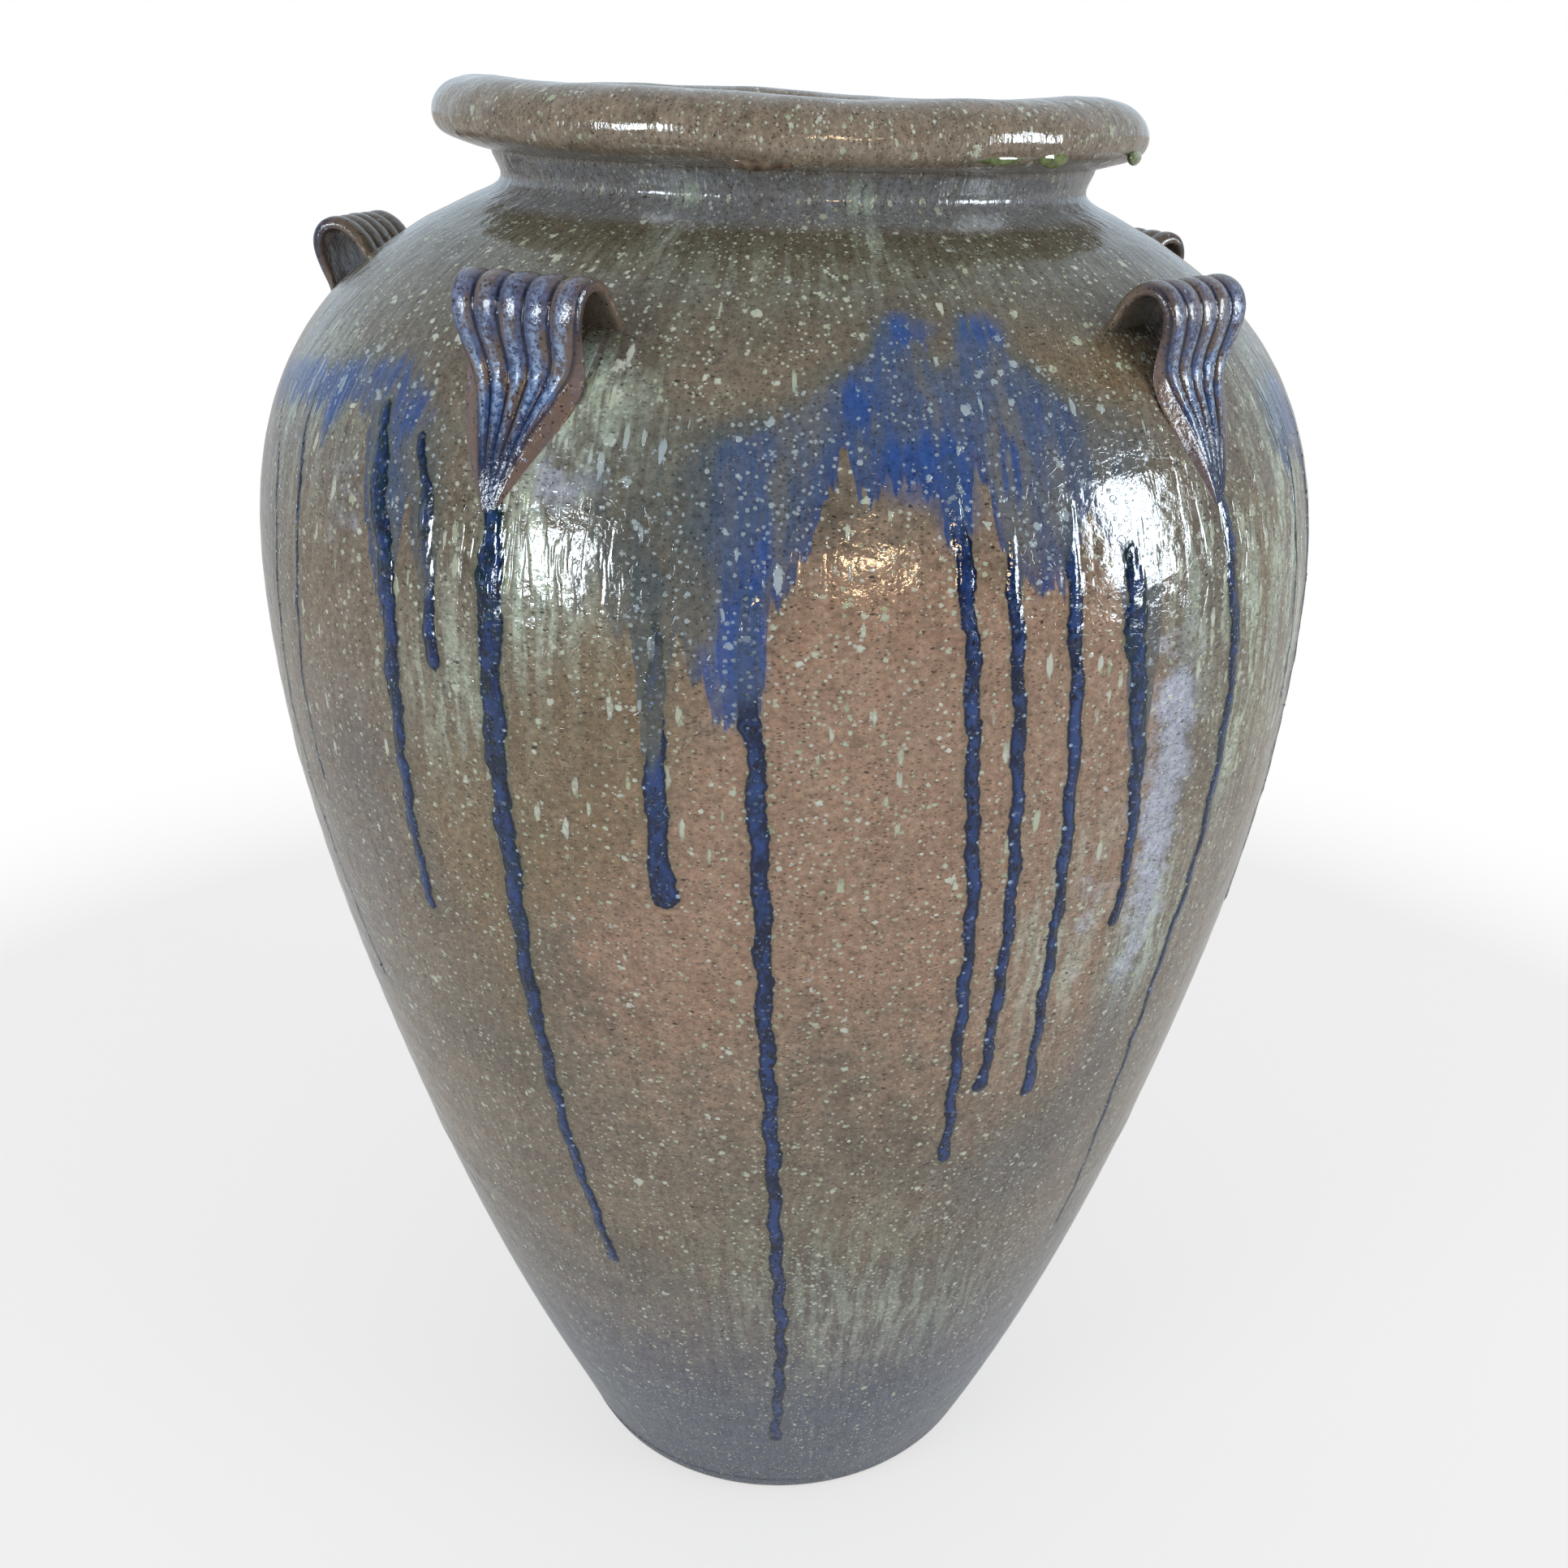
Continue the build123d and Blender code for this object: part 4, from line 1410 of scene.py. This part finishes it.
# %% [markdown]
# ## Finishes
#
# The glaze is one layer of glass over a body that is never one colour. Painting the colours as a
# picture would fix them to one view, so they are worked out from the marks on the mesh, which
# know how near a run or a wash is, and from noise at the sizes that the real surface shows. Three
# effects come back in several finishes and are made once as groups. The first is round specks,
# spread like grit: each cell of a pattern may hold one, of its own size and with a torn edge.


# %% Specks
def use(tree, group, inputs):
    """Places a group in a tree."""
    return add_node(tree, "ShaderNodeGroup", inputs, node_tree=group).outputs


def scattered(tree, place, spacing, radius, share, ragged):
    """The outputs of the specks group: spacing in metres, radius and raggedness as shares of it."""
    return use(
        tree, specks,
        {"Vector": place, "Spacing": spacing, "Radius": radius, "Share": share, "Ragged": ragged}
    )


specks, ins, outs = node_group("ShaderNodeTree", "specks", {
    "Vector": ("Vector", None), "Spacing": ("Float", 0.004), "Radius": ("Float", 0.25),
    "Share": ("Float", 0.5), "Ragged": ("Float", 0.25),
}, {"Mask": ("Float", None), "Pick": ("Float", None), "Rim": ("Float", None)})
tree = specks
scale = calc(tree, "DIVIDE", 1.0, ins["Spacing"])
tear_inputs = {"Vector": ins["Vector"], "Scale": product(tree, scale, 5.0), "Detail": 2.0}
tear = add_node(tree, "ShaderNodeTexNoise", tear_inputs).outputs["Fac"]
cells = add_node(tree, "ShaderNodeTexVoronoi", {"Vector": ins["Vector"], "Scale": scale})
dice = add_node(tree, "ShaderNodeSeparateColor", {"Color": cells.outputs["Color"]})
size = product(tree, ins["Radius"], scaled(tree, dice.outputs[1], 0.75, 0.35))
torn = nudged(tree, cells.outputs["Distance"], tear, ins["Ragged"])
depth = calc(tree, "SUBTRACT", size, torn)
chosen = calc(tree, "LESS_THAN", dice.outputs[0], ins["Share"])
mask = product(tree, step(tree, depth, -0.03, 0.05), chosen)
rim = product(tree, calc(tree, "SUBTRACT", 1.0, step(tree, depth, 0.03, 0.1)), mask)
for label, socket in (("Mask", mask), ("Pick", dice.outputs[2]), ("Rim", rim)):
    tree.links.new(socket, outs[label])
print("specks group:", ", ".join(socket.name for socket in outs if socket.name))

# %% [markdown]
# The second is streaks that follow the flow of the glaze: noise drawn out nine times down the
# jar, and bent a little, so that no two lie parallel.


# %% Streaks
def stretched(tree, vector, across, up):
    """The same place in a pattern that is drawn out round or up the jar."""
    return calc_vector(tree, "MULTIPLY", vector, (across, across, up))


def streaked(tree, place, width, sharpness):
    """Streaks between 0 and 1 that run down the jar."""
    return use(tree, streaks, {"Vector": place, "Width": width, "Sharpness": sharpness})["Value"]


streaks, ins, outs = node_group("ShaderNodeTree", "flow_streaks", {
    "Vector": ("Vector", None), "Width": ("Float", 0.004), "Sharpness": ("Float", 0.12),
}, {"Value": ("Float", None)})
tree = streaks
bend_inputs = {"Vector": ins["Vector"], "Scale": 24.0, "Detail": 1.0}
bent = add_node(tree, "ShaderNodeTexNoise", bend_inputs).outputs["Color"]
bent = calc_vector(tree, "SCALE", calc_vector(tree, "SUBTRACT", bent, (0.5, 0.5, 0.5)), 0.008)
bent = calc_vector(tree, "ADD", ins["Vector"], bent)
scale = calc(tree, "DIVIDE", 1.0, ins["Width"])
line_inputs = {"Vector": stretched(tree, bent, 1.0, 0.11), "Scale": scale, "Detail": 2.0}
lines = add_node(tree, "ShaderNodeTexNoise", line_inputs).outputs["Fac"]
low_edge, high_edge = (calc(tree, operation, 0.5, ins["Sharpness"]) for operation in ("SUBTRACT", "ADD"))
tree.links.new(step(tree, lines, low_edge, high_edge), outs["Value"])
print("streaks group:", ", ".join(socket.name for socket in ins if socket.name))

# %% [markdown]
# The third is the skin of a fired glaze: slow waves like orange peel, finer dimples and small
# pits. It takes the heights of what lies on it and gives one normal.

# %% Fired skin
skin_dimples, ins, outs = node_group("ShaderNodeTree", "fired_skin", {
    "Vector": ("Vector", None), "Depth": ("Float", 0.0002), "Height": ("Float", 0.0),
}, {"Normal": ("Vector", None)})
tree = skin_dimples
peel = cloud(tree, ins["Vector"], 0.0038, detail=2.0)
waves = cloud(tree, ins["Vector"], 0.013, detail=1.0)
pits = scattered(tree, ins["Vector"], 0.0035, 0.16, 0.5, 0.1)["Mask"]
peel = scaled(tree, pits, -0.5, scaled(tree, waves, 3.2, peel))
level = scaled(tree, peel, ins["Depth"], ins["Height"])
bump = add_node(tree, "ShaderNodeBump", {"Height": level, "Strength": 1.0, "Distance": 1.0})
tree.links.new(bump.outputs["Normal"], outs["Normal"])
print("shared effects:", ", ".join(group.name for group in (specks, streaks, skin_dimples)))

# %% [markdown]
# The ground glaze comes first, and it starts with the broad colours. Where the glaze is thin the
# clay shows pinkish, where ash fell it is ochre, and where it pooled it is olive. Foot, neck and
# lip have tones of their own, with painted light over them: a cool painted reflection towards
# the foot and on the neck, and painted shade on the top of the lip. Painted sheen lies where
# windows are mirrored, and the ash on the shoulder is drawn down into pale streaks.


# %% Broad colours of the ground
def mark(tree, name):
    """A number that the mesh carries for each place."""
    return add_node(tree, "ShaderNodeAttribute", attribute_name=name).outputs["Fac"]


def blotchy(tree, amount, noise, contrast=1.0):
    """A soft amount whose edge is broken up by noise."""
    rough = nudged(tree, amount, noise, contrast)
    return product(tree, step(tree, rough, 0.15, 0.75), step(tree, amount, 0.02, 0.2))


def stained_clay(tree, flow, middling, fine):
    """The clay's colour under its glaze, painted sheen and shade, and the streaks the ash was drawn into.
    """
    rise, ash_and_sheen = mark(tree, "rise"), mark(tree, "ash_and_sheen")
    broad = step(tree, cloud(tree, flow, 0.055, 4.0), 0.3, 0.7)
    colour = colour_mix(tree, broad, paint("6b6155"), paint("7f7263"))
    colour = lay(tree, colour, "967b68", blotchy(tree, mark(tree, "pink"), middling, 0.8))
    colour = lay(tree, colour, "7f6b4d", blotchy(tree, mark(tree, "ochre"), middling, 1.0), 0.6)
    # Blue-grey towards the foot: partly the glaze's own tone, partly a painted cool reflection of the
    # floor.
    foot_tone_and_sheen = step(tree, scaled(tree, middling, 0.12, rise), 0.12, 0.42, 0.82, 0.0)
    colour = lay(tree, colour, "4c5c78", foot_tone_and_sheen)
    # Grey patches: partly the glaze's own grey, partly painted sheen of mirrored windows.
    colour = lay(tree, colour, "5d636e", blotchy(tree, mark(tree, "grey_and_sheen"), middling, 0.7), 0.6)
    cloudy_rise = scaled(tree, middling, 0.05, rise)
    near_neck = product(tree, step(tree, cloudy_rise, 0.85, 0.95), step(tree, rise, 0.972, 0.955))
    colour = lay(tree, colour, "4a4a3c", near_neck, 0.6)
    # Blue-grey neck: the glaze's brown-grey under a painted cool reflection of the windows.
    neck_tone_and_sheen = product(tree, step(tree, rise, 0.955, 0.972), step(tree, rise, 1.002, 0.996))
    colour = lay(tree, colour, "7f858d", neck_tone_and_sheen, scaled(tree, middling, 0.9, 0.25))
    on_lip = step(tree, rise, 1.0, 1.01)
    colour = lay(tree, colour, "8d8070", on_lip, step(tree, middling, 0.3, 0.6, 0.4, 0.9))
    # Painted shade: the top and inside of the lip are darkened, to hold down the bright sky that they
    # mirror.
    colour = calc_vector(tree, "SCALE", colour, step(tree, rise, 1.035, 1.055, 1.0, 0.86))
    veil = streaked(tree, flow, 0.0042, 0.07)
    # Broad grey-green over the ash: partly ash haze, partly painted sheen on the left shoulder.
    broad_veil_and_sheen = product(tree, ash_and_sheen, step(tree, middling, 0.25, 0.6, 0.1, 0.42))
    colour = lay(tree, colour, "93a59c", broad_veil_and_sheen)
    colour = lay(tree, colour, "bfd0c0", veil, scaled(tree, ash_and_sheen, 0.85, 0.03))
    # Painted reflection: a pale lavender sheen laid over the glaze colour where the lavender mark lies.
    colour = lay(tree, colour, "adb4c6", blotchy(tree, mark(tree, "lavender_sheen"), middling, 1.8), 0.85)
    grain = product(tree, nudged(tree, 1.04, fine, 2.1), scaled(tree, middling, 0.5, 0.75))
    return calc_vector(tree, "SCALE", colour, grain), veil


# %% [markdown]
# Then come the small things. Iron in the clay bleeds through as black specks. Ash left pale
# green spots, round on the belly and drawn into drips higher up. And where the glaze lay thick
# and ochre it crazed: a net of fine cracks, from a pattern's cell edges shaken out of line.


# %% Specks, spots and crazing
def iron_specks(tree, flow):
    """Fine black specks and a few coarse ones, a little wider than high, as throwing drags them."""
    thrown = stretched(tree, flow, 0.75, 1.3)
    iron = scattered(tree, thrown, 0.0014, 0.36, 0.6, 0.6)["Mask"]
    big_iron = scattered(tree, thrown, 0.0042, 0.16, 0.5, 0.5)["Mask"]
    return calc(tree, "MAXIMUM", product(tree, iron, 0.68), big_iron)


def ash_spots(tree, flow):
    """Pale spots of five sizes, the tone picked for each, and their rims."""
    rise, ash_and_sheen = mark(tree, "rise"), mark(tree, "ash_and_sheen")
    drawn = product(tree, step(tree, rise, 0.55, 0.72), step(tree, rise, 0.92, 0.84))
    drawn = product(tree, drawn, step(tree, ash_and_sheen, 0.0, 0.35, 0.4, 1.0))
    round_share = scaled(tree, drawn, -0.5, 0.7)
    dots = scattered(tree, flow, 0.0064, 0.20, scaled(tree, ash_and_sheen, 0.3, round_share), 0.4)
    small_share = scaled(tree, drawn, -0.2, 0.42)
    small = scattered(tree, flow, 0.0033, 0.26, scaled(tree, ash_and_sheen, 0.4, small_share), 0.4)
    drip_share = product(tree, drawn, scaled(tree, ash_and_sheen, 0.45, 0.5))
    drips = scattered(tree, stretched(tree, flow, 1.0, 0.26), 0.0040, 0.33, drip_share, 0.35)
    crowd = scaled(tree, ash_and_sheen, 0.5, step(tree, cloud(tree, flow, 0.035, 2.0), 0.35, 0.6, 0.3, 0.8))
    dust = scattered(tree, flow, 0.0024, 0.30, crowd, 0.4)["Mask"]
    large = scattered(tree, flow, 0.010, 0.21, step(tree, rise, 0.74, 0.86, 0.06, 0.6), 0.5)
    spots = product(tree, dust, 0.75)
    for others in (large, drips, small, dots):
        spots = calc(tree, "MAXIMUM", spots, others["Mask"])
    return spots, dots["Pick"], calc(tree, "MAXIMUM", dots["Rim"], drips["Rim"])


def crazing(tree, flow):
    """The raised lips of the cracks, and the wider shade along them."""
    shaken = add_node(
        tree, "ShaderNodeTexNoise", {"Vector": flow, "Scale": 330.0, "Detail": 1.0}
    ).outputs["Color"]
    net = calc_vector(tree, "ADD", flow, calc_vector(tree, "SCALE", shaken, 0.0012))
    cells = add_node(
        tree, "ShaderNodeTexVoronoi", {"Vector": net, "Scale": 270.0}, feature="DISTANCE_TO_EDGE"
    )
    cracks = cells.outputs["Distance"]
    in_ochre = step(tree, mark(tree, "ochre"), 0.05, 0.5, 0.2, 1.0)
    where_crazed = product(tree, in_ochre, step(tree, cloud(tree, flow, 0.006, 1.0), 0.42, 0.56))
    crazed = product(tree, step(tree, cracks, 0.055, 0.02), where_crazed)
    return crazed, product(tree, step(tree, cracks, 0.13, 0.06), where_crazed)


# %% Ground glaze
def ground_glaze(tree, flow):
    """Colour and height of the glazed clay without its blue, its spots, and two noises to go on with."""
    middling, fine = cloud(tree, flow, 0.014, 4.0, 0.65), cloud(tree, flow, 0.0026, 3.0, 0.75)
    colour, veil = stained_clay(tree, flow, middling, fine)
    colour = lay(tree, colour, "241d17", iron_specks(tree, flow), 0.85)
    spots, pick, rims = ash_spots(tree, flow)
    pale = colour_mix(tree, pick, paint("adb996"), paint("d5dcd2"))
    colour = colour_mix(tree, product(tree, spots, 0.85), colour, pale)
    colour = lay(tree, colour, "6d7266", rims, 0.3)
    rust = scattered(tree, flow, 0.011, 0.055, 0.06, 0.1)["Mask"]
    colour = lay(tree, colour, "b5642c", rust)
    crazed, crack_shade = crazing(tree, flow)
    colour = lay(tree, colour, "4a3c2a", crack_shade, 0.35)
    colour = lay(tree, colour, "b3a48a", crazed, 0.4)
    ridges = product(tree, veil, scaled(tree, mark(tree, "ash_and_sheen"), 0.0004, 0.00005))
    height = scaled(tree, spots, 0.00016, ridges)
    height = calc(tree, "ADD", height, product(tree, fine, 0.00008))
    return colour, scaled(tree, crazed, 0.00012, height), spots, fine, middling


# %% [markdown]
# Over it come the washes. A wash is thin, so its colour breaks into streaks and the clay shows
# between them. Its lower edge is torn four times over: by soft noise, streaks, threads and grain.


# %% Blue washes
def wash_glaze(tree, flow, ground, spots, fine, middling):
    """Lays the washes over the ground. Returns the colour and how far they cover it."""
    wash_mm, wash, cobalt = mark(tree, "wash_mm"), mark(tree, "wash"), mark(tree, "cobalt")
    streak = streaked(tree, flow, 0.0032, 0.25)
    wide_streak = streaked(tree, stretched(tree, flow, 1.0, 2.2), 0.013, 0.1)
    thread = streaked(tree, flow, 0.0014, 0.2)
    torn = wash_mm
    for noise, reach in ((middling, 6.0), (streak, 9.0), (thread, 5.0), (fine, 2.0)):
        torn = nudged(tree, torn, noise, reach)
    strength = nudged(tree, wash, middling, 0.9)
    covers = product(tree, step(tree, torn, -0.8, 1.6), step(tree, strength, 0.1, 0.9))
    covers = product(tree, covers, scaled(tree, thread, 0.25, 0.75))
    rich = step(tree, wash, 0.72, 0.98)
    depth = scaled(tree, streak, 0.2, product(tree, wide_streak, 0.8))
    thin_colour = colour_mix(tree, depth, paint("6a6a61"), paint("4a595f"))
    rich_colour = colour_mix(tree, depth, paint("656b72"), paint("3a5682"))
    wash_colour = colour_mix(tree, rich, thin_colour, rich_colour)
    wash_colour = lay(tree, wash_colour, "2b5092", blotchy(tree, cobalt, streak, 0.7))
    pooled = product(tree, step(tree, torn, 0.3, 2.0), step(tree, torn, 14.0, 3.0))
    pooled = product(tree, pooled, scaled(tree, rich, 0.45, 0.2))
    wash_colour = lay(tree, wash_colour, "24407a", pooled)
    wash_colour = calc_vector(tree, "SCALE", wash_colour, scaled(tree, fine, 1.3, 0.35))
    iron = scattered(tree, flow, 0.0015, 0.36, 0.6, 0.6)["Mask"]
    wash_colour = lay(tree, wash_colour, "14171f", iron, 0.62)
    wash_colour = lay(tree, wash_colour, "a4b6c6", spots, 0.8)
    stained = product(tree, blotchy(tree, cobalt, middling, 0.8), scaled(tree, streak, 0.5, 0.35))
    colour = lay(tree, ground, "35528a", stained)
    return colour_mix(tree, product(tree, covers, 0.9), colour, wash_colour), covers


# %% [markdown]
# A run is thick, so it is dark, with a mottled, slightly crystalline middle and a thin pale
# fringe where its cobalt bled into the ground glaze. Under a wash it drowns: the two are one
# melt there, and only below the wash's edge does the run stand alone.


# %% Blue runs
def run_glaze(tree, flow, colour, covers, fine):
    """Lays the runs over the washes. Returns the colour and the height of their bubbles and pits."""
    run_mm, run_tone = mark(tree, "run_mm"), mark(tree, "run_tone")
    ragged = nudged(tree, nudged(tree, run_mm, fine, 1.6), cloud(tree, flow, 0.0045, 1.0), 2.4)
    fringe = product(tree, step(tree, ragged, -2.4, -0.4), scaled(tree, run_tone, 0.35, 0.2))
    colour = lay(tree, colour, "55604c", fringe)
    drowned = product(
        tree, covers, step(tree, mark(tree, "wash_mm"), 1.0, 13.0), step(tree, run_tone, 0.6, 0.25)
    )
    run = product(tree, step(tree, ragged, -0.35, 0.35), calc(tree, "SUBTRACT", 1.0, drowned))
    mottle = cloud(tree, stretched(tree, flow, 1.0, 0.6), 0.006, 3.0, 0.7)
    core = product(tree, step(tree, ragged, 0.6, 2.0), step(tree, mottle, 0.36, 0.6))
    dark = colour_mix(tree, fine, paint("070c1e"), paint("17254a"))
    run_colour = colour_mix(tree, core, dark, paint("27437c"))
    tealish = product(tree, run_tone, step(tree, cloud(tree, flow, 0.006), 0.4, 0.65))
    run_colour = lay(tree, run_colour, "0e2a33", tealish)
    bubbles = scattered(tree, flow, 0.0021, 0.36, 0.4, 0.5)["Mask"]
    pits = scattered(tree, stretched(tree, flow, 1.0, 0.7), 0.0027, 0.36, 0.5, 0.5)["Mask"]
    run_colour = lay(tree, run_colour, "0a0f1f", pits, 0.85)
    run_colour = lay(tree, run_colour, "7f9ac0", bubbles, 0.25)
    beads = scattered(tree, flow, 0.0034, 0.24, 0.75, 0.3)["Mask"]
    bead_share = product(tree, beads, step(tree, ragged, 2.2, 0.8, 0.25, 0.9))
    run_colour = lay(tree, run_colour, "a7bed6", bead_share)
    height = scaled(tree, bubbles, 0.0003, product(tree, pits, -0.0004))
    return colour_mix(tree, run, colour, run_colour), product(tree, run, height)


# %% [markdown]
# Every finish is a glass, ends in a colour, a roughness and a height, and wears the fired skin.
# So the materials below differ only in what leads there.


# %% The body's glaze
def glassy(material_name):
    """A material that shines like glass. Returns it, its tree and the shader."""
    made = bpy.data.materials.new(material_name)
    made.use_nodes = True
    shader = made.node_tree.nodes["Principled BSDF"]
    shader.inputs["IOR"].default_value = 1.48
    shader.inputs["Specular IOR Level"].default_value = 0.5
    return made, made.node_tree, shader


def complete(tree, shader, place, colour, roughness, depth=0.0002, height=0.0):
    """Links a finish to its shader, under the dimples of the fired skin."""
    normal = use(tree, skin_dimples, {"Vector": place, "Depth": depth, "Height": height})["Normal"]
    for label, socket in (("Base Color", colour), ("Roughness", roughness), ("Normal", normal)):
        tree.links.new(socket, shader.inputs[label])


def inside_too(tree, colour, middling):
    """The colour outside, and plain brown slip inside the jar."""
    slip = colour_mix(tree, middling, paint("3a3029"), paint("54473a"))
    return colour_mix(tree, mark(tree, "inside"), colour, slip)


body_glaze, tree, shader = glassy("speckled_body_glaze")
flow = add_node(tree, "ShaderNodeAttribute", attribute_name="flow").outputs["Vector"]
ground, ground_height, spots, fine, middling = ground_glaze(tree, flow)
colour, covers = wash_glaze(tree, flow, ground, spots, fine, middling)
colour, run_height = run_glaze(tree, flow, colour, covers, fine)
roughness = step(tree, middling, 0.35, 0.7, 0.05, 0.12)
height = calc(tree, "ADD", ground_height, run_height)
complete(tree, shader, flow, inside_too(tree, colour, middling), roughness, height=height)
for piece in (*walls, lip):
    piece.data.materials.append(body_glaze)
print(body_glaze.name, "has", len(tree.nodes), "nodes")

# %% [markdown]
# The blisters take the run's own blues, some of them lighter than others.

# %% Blister glaze
blister_glaze, tree, shader = glassy("blistered_cobalt_glaze")
place = add_node(tree, "ShaderNodeTexCoord").outputs["Object"]
picked = cloud(tree, place, 0.0035, 1.0)
colour = colour_mix(tree, step(tree, picked, 0.35, 0.6), paint("0e1730"), paint("3c5688"))
colour = lay(tree, colour, "8fa9c8", step(tree, picked, 0.6, 0.72))
complete(tree, shader, place, colour, step(tree, picked, 0.3, 0.7, 0.07, 0.13), depth=0.0001)
for made in blisters:
    made.data.materials.clear()
    made.data.materials.append(blister_glaze)
print(blister_glaze.name, "on", len(blisters), "pieces")

# %% [markdown]
# The drops are the same glass where it lies thickest: clear green in the beads, brown in the sag.

# %% Drop glazes
pools = (
    (green_beads, "pooled_green_glaze", "556038", "7f8e5a"),
    (brown_sag, "pooled_brown_glaze", "4f4236", "7c6a58"),
)
for made, name, dark, light in pools:
    drop_glaze, tree, shader = glassy(name)
    place = add_node(tree, "ShaderNodeTexCoord").outputs["Object"]
    colour = colour_mix(
        tree, step(tree, cloud(tree, place, 0.004, 2.0), 0.35, 0.65), paint(dark), paint(light)
    )
    roughness = step(tree, cloud(tree, place, 0.003, 1.0), 0.3, 0.7, 0.05, 0.1)
    complete(tree, shader, place, colour, roughness, depth=0.0001)
    made.data.materials.append(drop_glaze)
    print(name, "on", made.name)

# %% [markdown]
# The foot was wiped before the firing. Its side keeps a thin grey film of glaze, and the ring
# that stands on the shelf is bare, toasted clay with a little grit in it.

# %% Foot clay
foot_glaze, tree, shader = glassy("wiped_foot_clay")
flow = add_node(tree, "ShaderNodeAttribute", attribute_name="flow").outputs["Vector"]
ground, ground_height, _, fine, middling = ground_glaze(tree, flow)
bare = step(tree, nudged(tree, mark(tree, "bare"), middling, 0.9), 0.3, 0.6)
clay = colour_mix(tree, fine, paint("6e5545"), paint("a08770"))
grit = scattered(tree, flow, 0.003, 0.22, 0.5, 0.5)["Mask"]
clay = lay(tree, clay, "3b2f27", grit, 0.6)
colour = inside_too(tree, colour_mix(tree, bare, ground, clay), middling)
roughness = scaled(tree, bare, 0.7, 0.12)
complete(tree, shader, flow, colour, roughness, height=scaled(tree, grit, 0.0001, ground_height))
slab.data.materials.append(foot_glaze)
print(foot_glaze.name, "on", slab.name)

# %% [markdown]
# The lugs are brown at the root and blue towards the tail, because the cobalt was poured over
# them and ran down. It gathered in the grooves, which are nearly black. The crests of the ribs
# carry a painted highlight, pale blue and brighter towards the tail. First come the places:
# where on the strap is a point?

# %% Places on a lug
lug_glaze, tree, shader = glassy("ribbed_lug_glaze")
place = add_node(tree, "ShaderNodeTexCoord").outputs["Object"]
across, along, rib = mark(tree, "across"), mark(tree, "along"), mark(tree, "rib")
sideways, lengthwise = product(tree, across, 0.026), product(tree, along, 0.03)
lug_place = add_node(tree, "ShaderNodeCombineXYZ", {"X": sideways, "Y": lengthwise}).outputs[0]
lug_place = calc_vector(tree, "ADD", lug_place, calc_vector(tree, "SCALE", place, 0.35))
blots, fine = cloud(tree, lug_place, 0.012, 3.0), cloud(tree, place, 0.0022, 3.0, 0.75)
full_width = calc(tree, "ADD", mark(tree, "half_width"), mark(tree, "flank"))
aside = product(tree, calc(tree, "ABSOLUTE", across), full_width)
on_flank = step(tree, calc(tree, "SUBTRACT", aside, mark(tree, "half_width")), -0.0015, 0.0010)
outer = calc(tree, "SUBTRACT", 1.0, mark(tree, "inner_face"))
on_face = product(tree, step(tree, along, 0.20, 0.36), outer, scaled(tree, on_flank, -0.85, 1.0))
groove = step(tree, rib, 0.62, 0.30)
wet = step(tree, cloud(tree, lug_place, 0.009, 2.0), 0.42, 0.58)
towards_tail = step(tree, along, 0.30, 0.70, 0.55, 1.0)
# Where the painted highlight goes: the crests of the ribs, broken up by fine noise.
crest = product(tree, step(tree, rib, 0.80, 0.98), step(tree, fine, 0.38, 0.62))
thread = product(tree, step(tree, along, 0.70, 0.86), on_face)
iron = scattered(tree, place, 0.0016, 0.34, 0.55, 0.6)["Mask"]
pale = scattered(tree, place, 0.0042, 0.2, 0.5, 0.4)["Mask"]

# %% Lug glaze
colour = colour_mix(tree, step(tree, blots, 0.35, 0.65), paint("5d5150"), paint("75655a"))
colour = lay(tree, colour, "6d6455", step(tree, along, 0.32, 0.14, 0.0, 0.8))
colour = lay(tree, colour, "7c675a", on_flank, outer)
blue = colour_mix(tree, step(tree, fine, 0.3, 0.7), paint("2a3f6c"), paint("5570a2"))
colour = colour_mix(tree, product(tree, wet, towards_tail, on_face), colour, blue)
coats = (
    # Painted highlight on the rib crests, brighter towards the tail.
    ("8ea6c8", crest, on_face, step(tree, along, 0.3, 0.6, 0.4, 0.95)),
    ("131c33", groove, on_face, 0.9),
    ("182444", thread, 0.8),
    ("231c1f", iron, 0.7),
    ("98a8c0", pale, outer, 0.7),
)
for coat in coats:
    colour = lay(tree, colour, *coat)
colour = calc_vector(tree, "SCALE", colour, scaled(tree, fine, 0.9, 0.6))
grain = scaled(tree, pale, 0.00015, product(tree, fine, 0.0003))
grain = scaled(tree, iron, -0.00012, grain)
complete(tree, shader, place, colour, step(tree, blots, 0.3, 0.7, 0.08, 0.16), 0.00022, grain)
for lug in lugs:
    lug.data.materials.clear()
    lug.data.materials.append(lug_glaze)
print("finishes:", ", ".join(material.name for material in (body_glaze, foot_glaze, lug_glaze)))
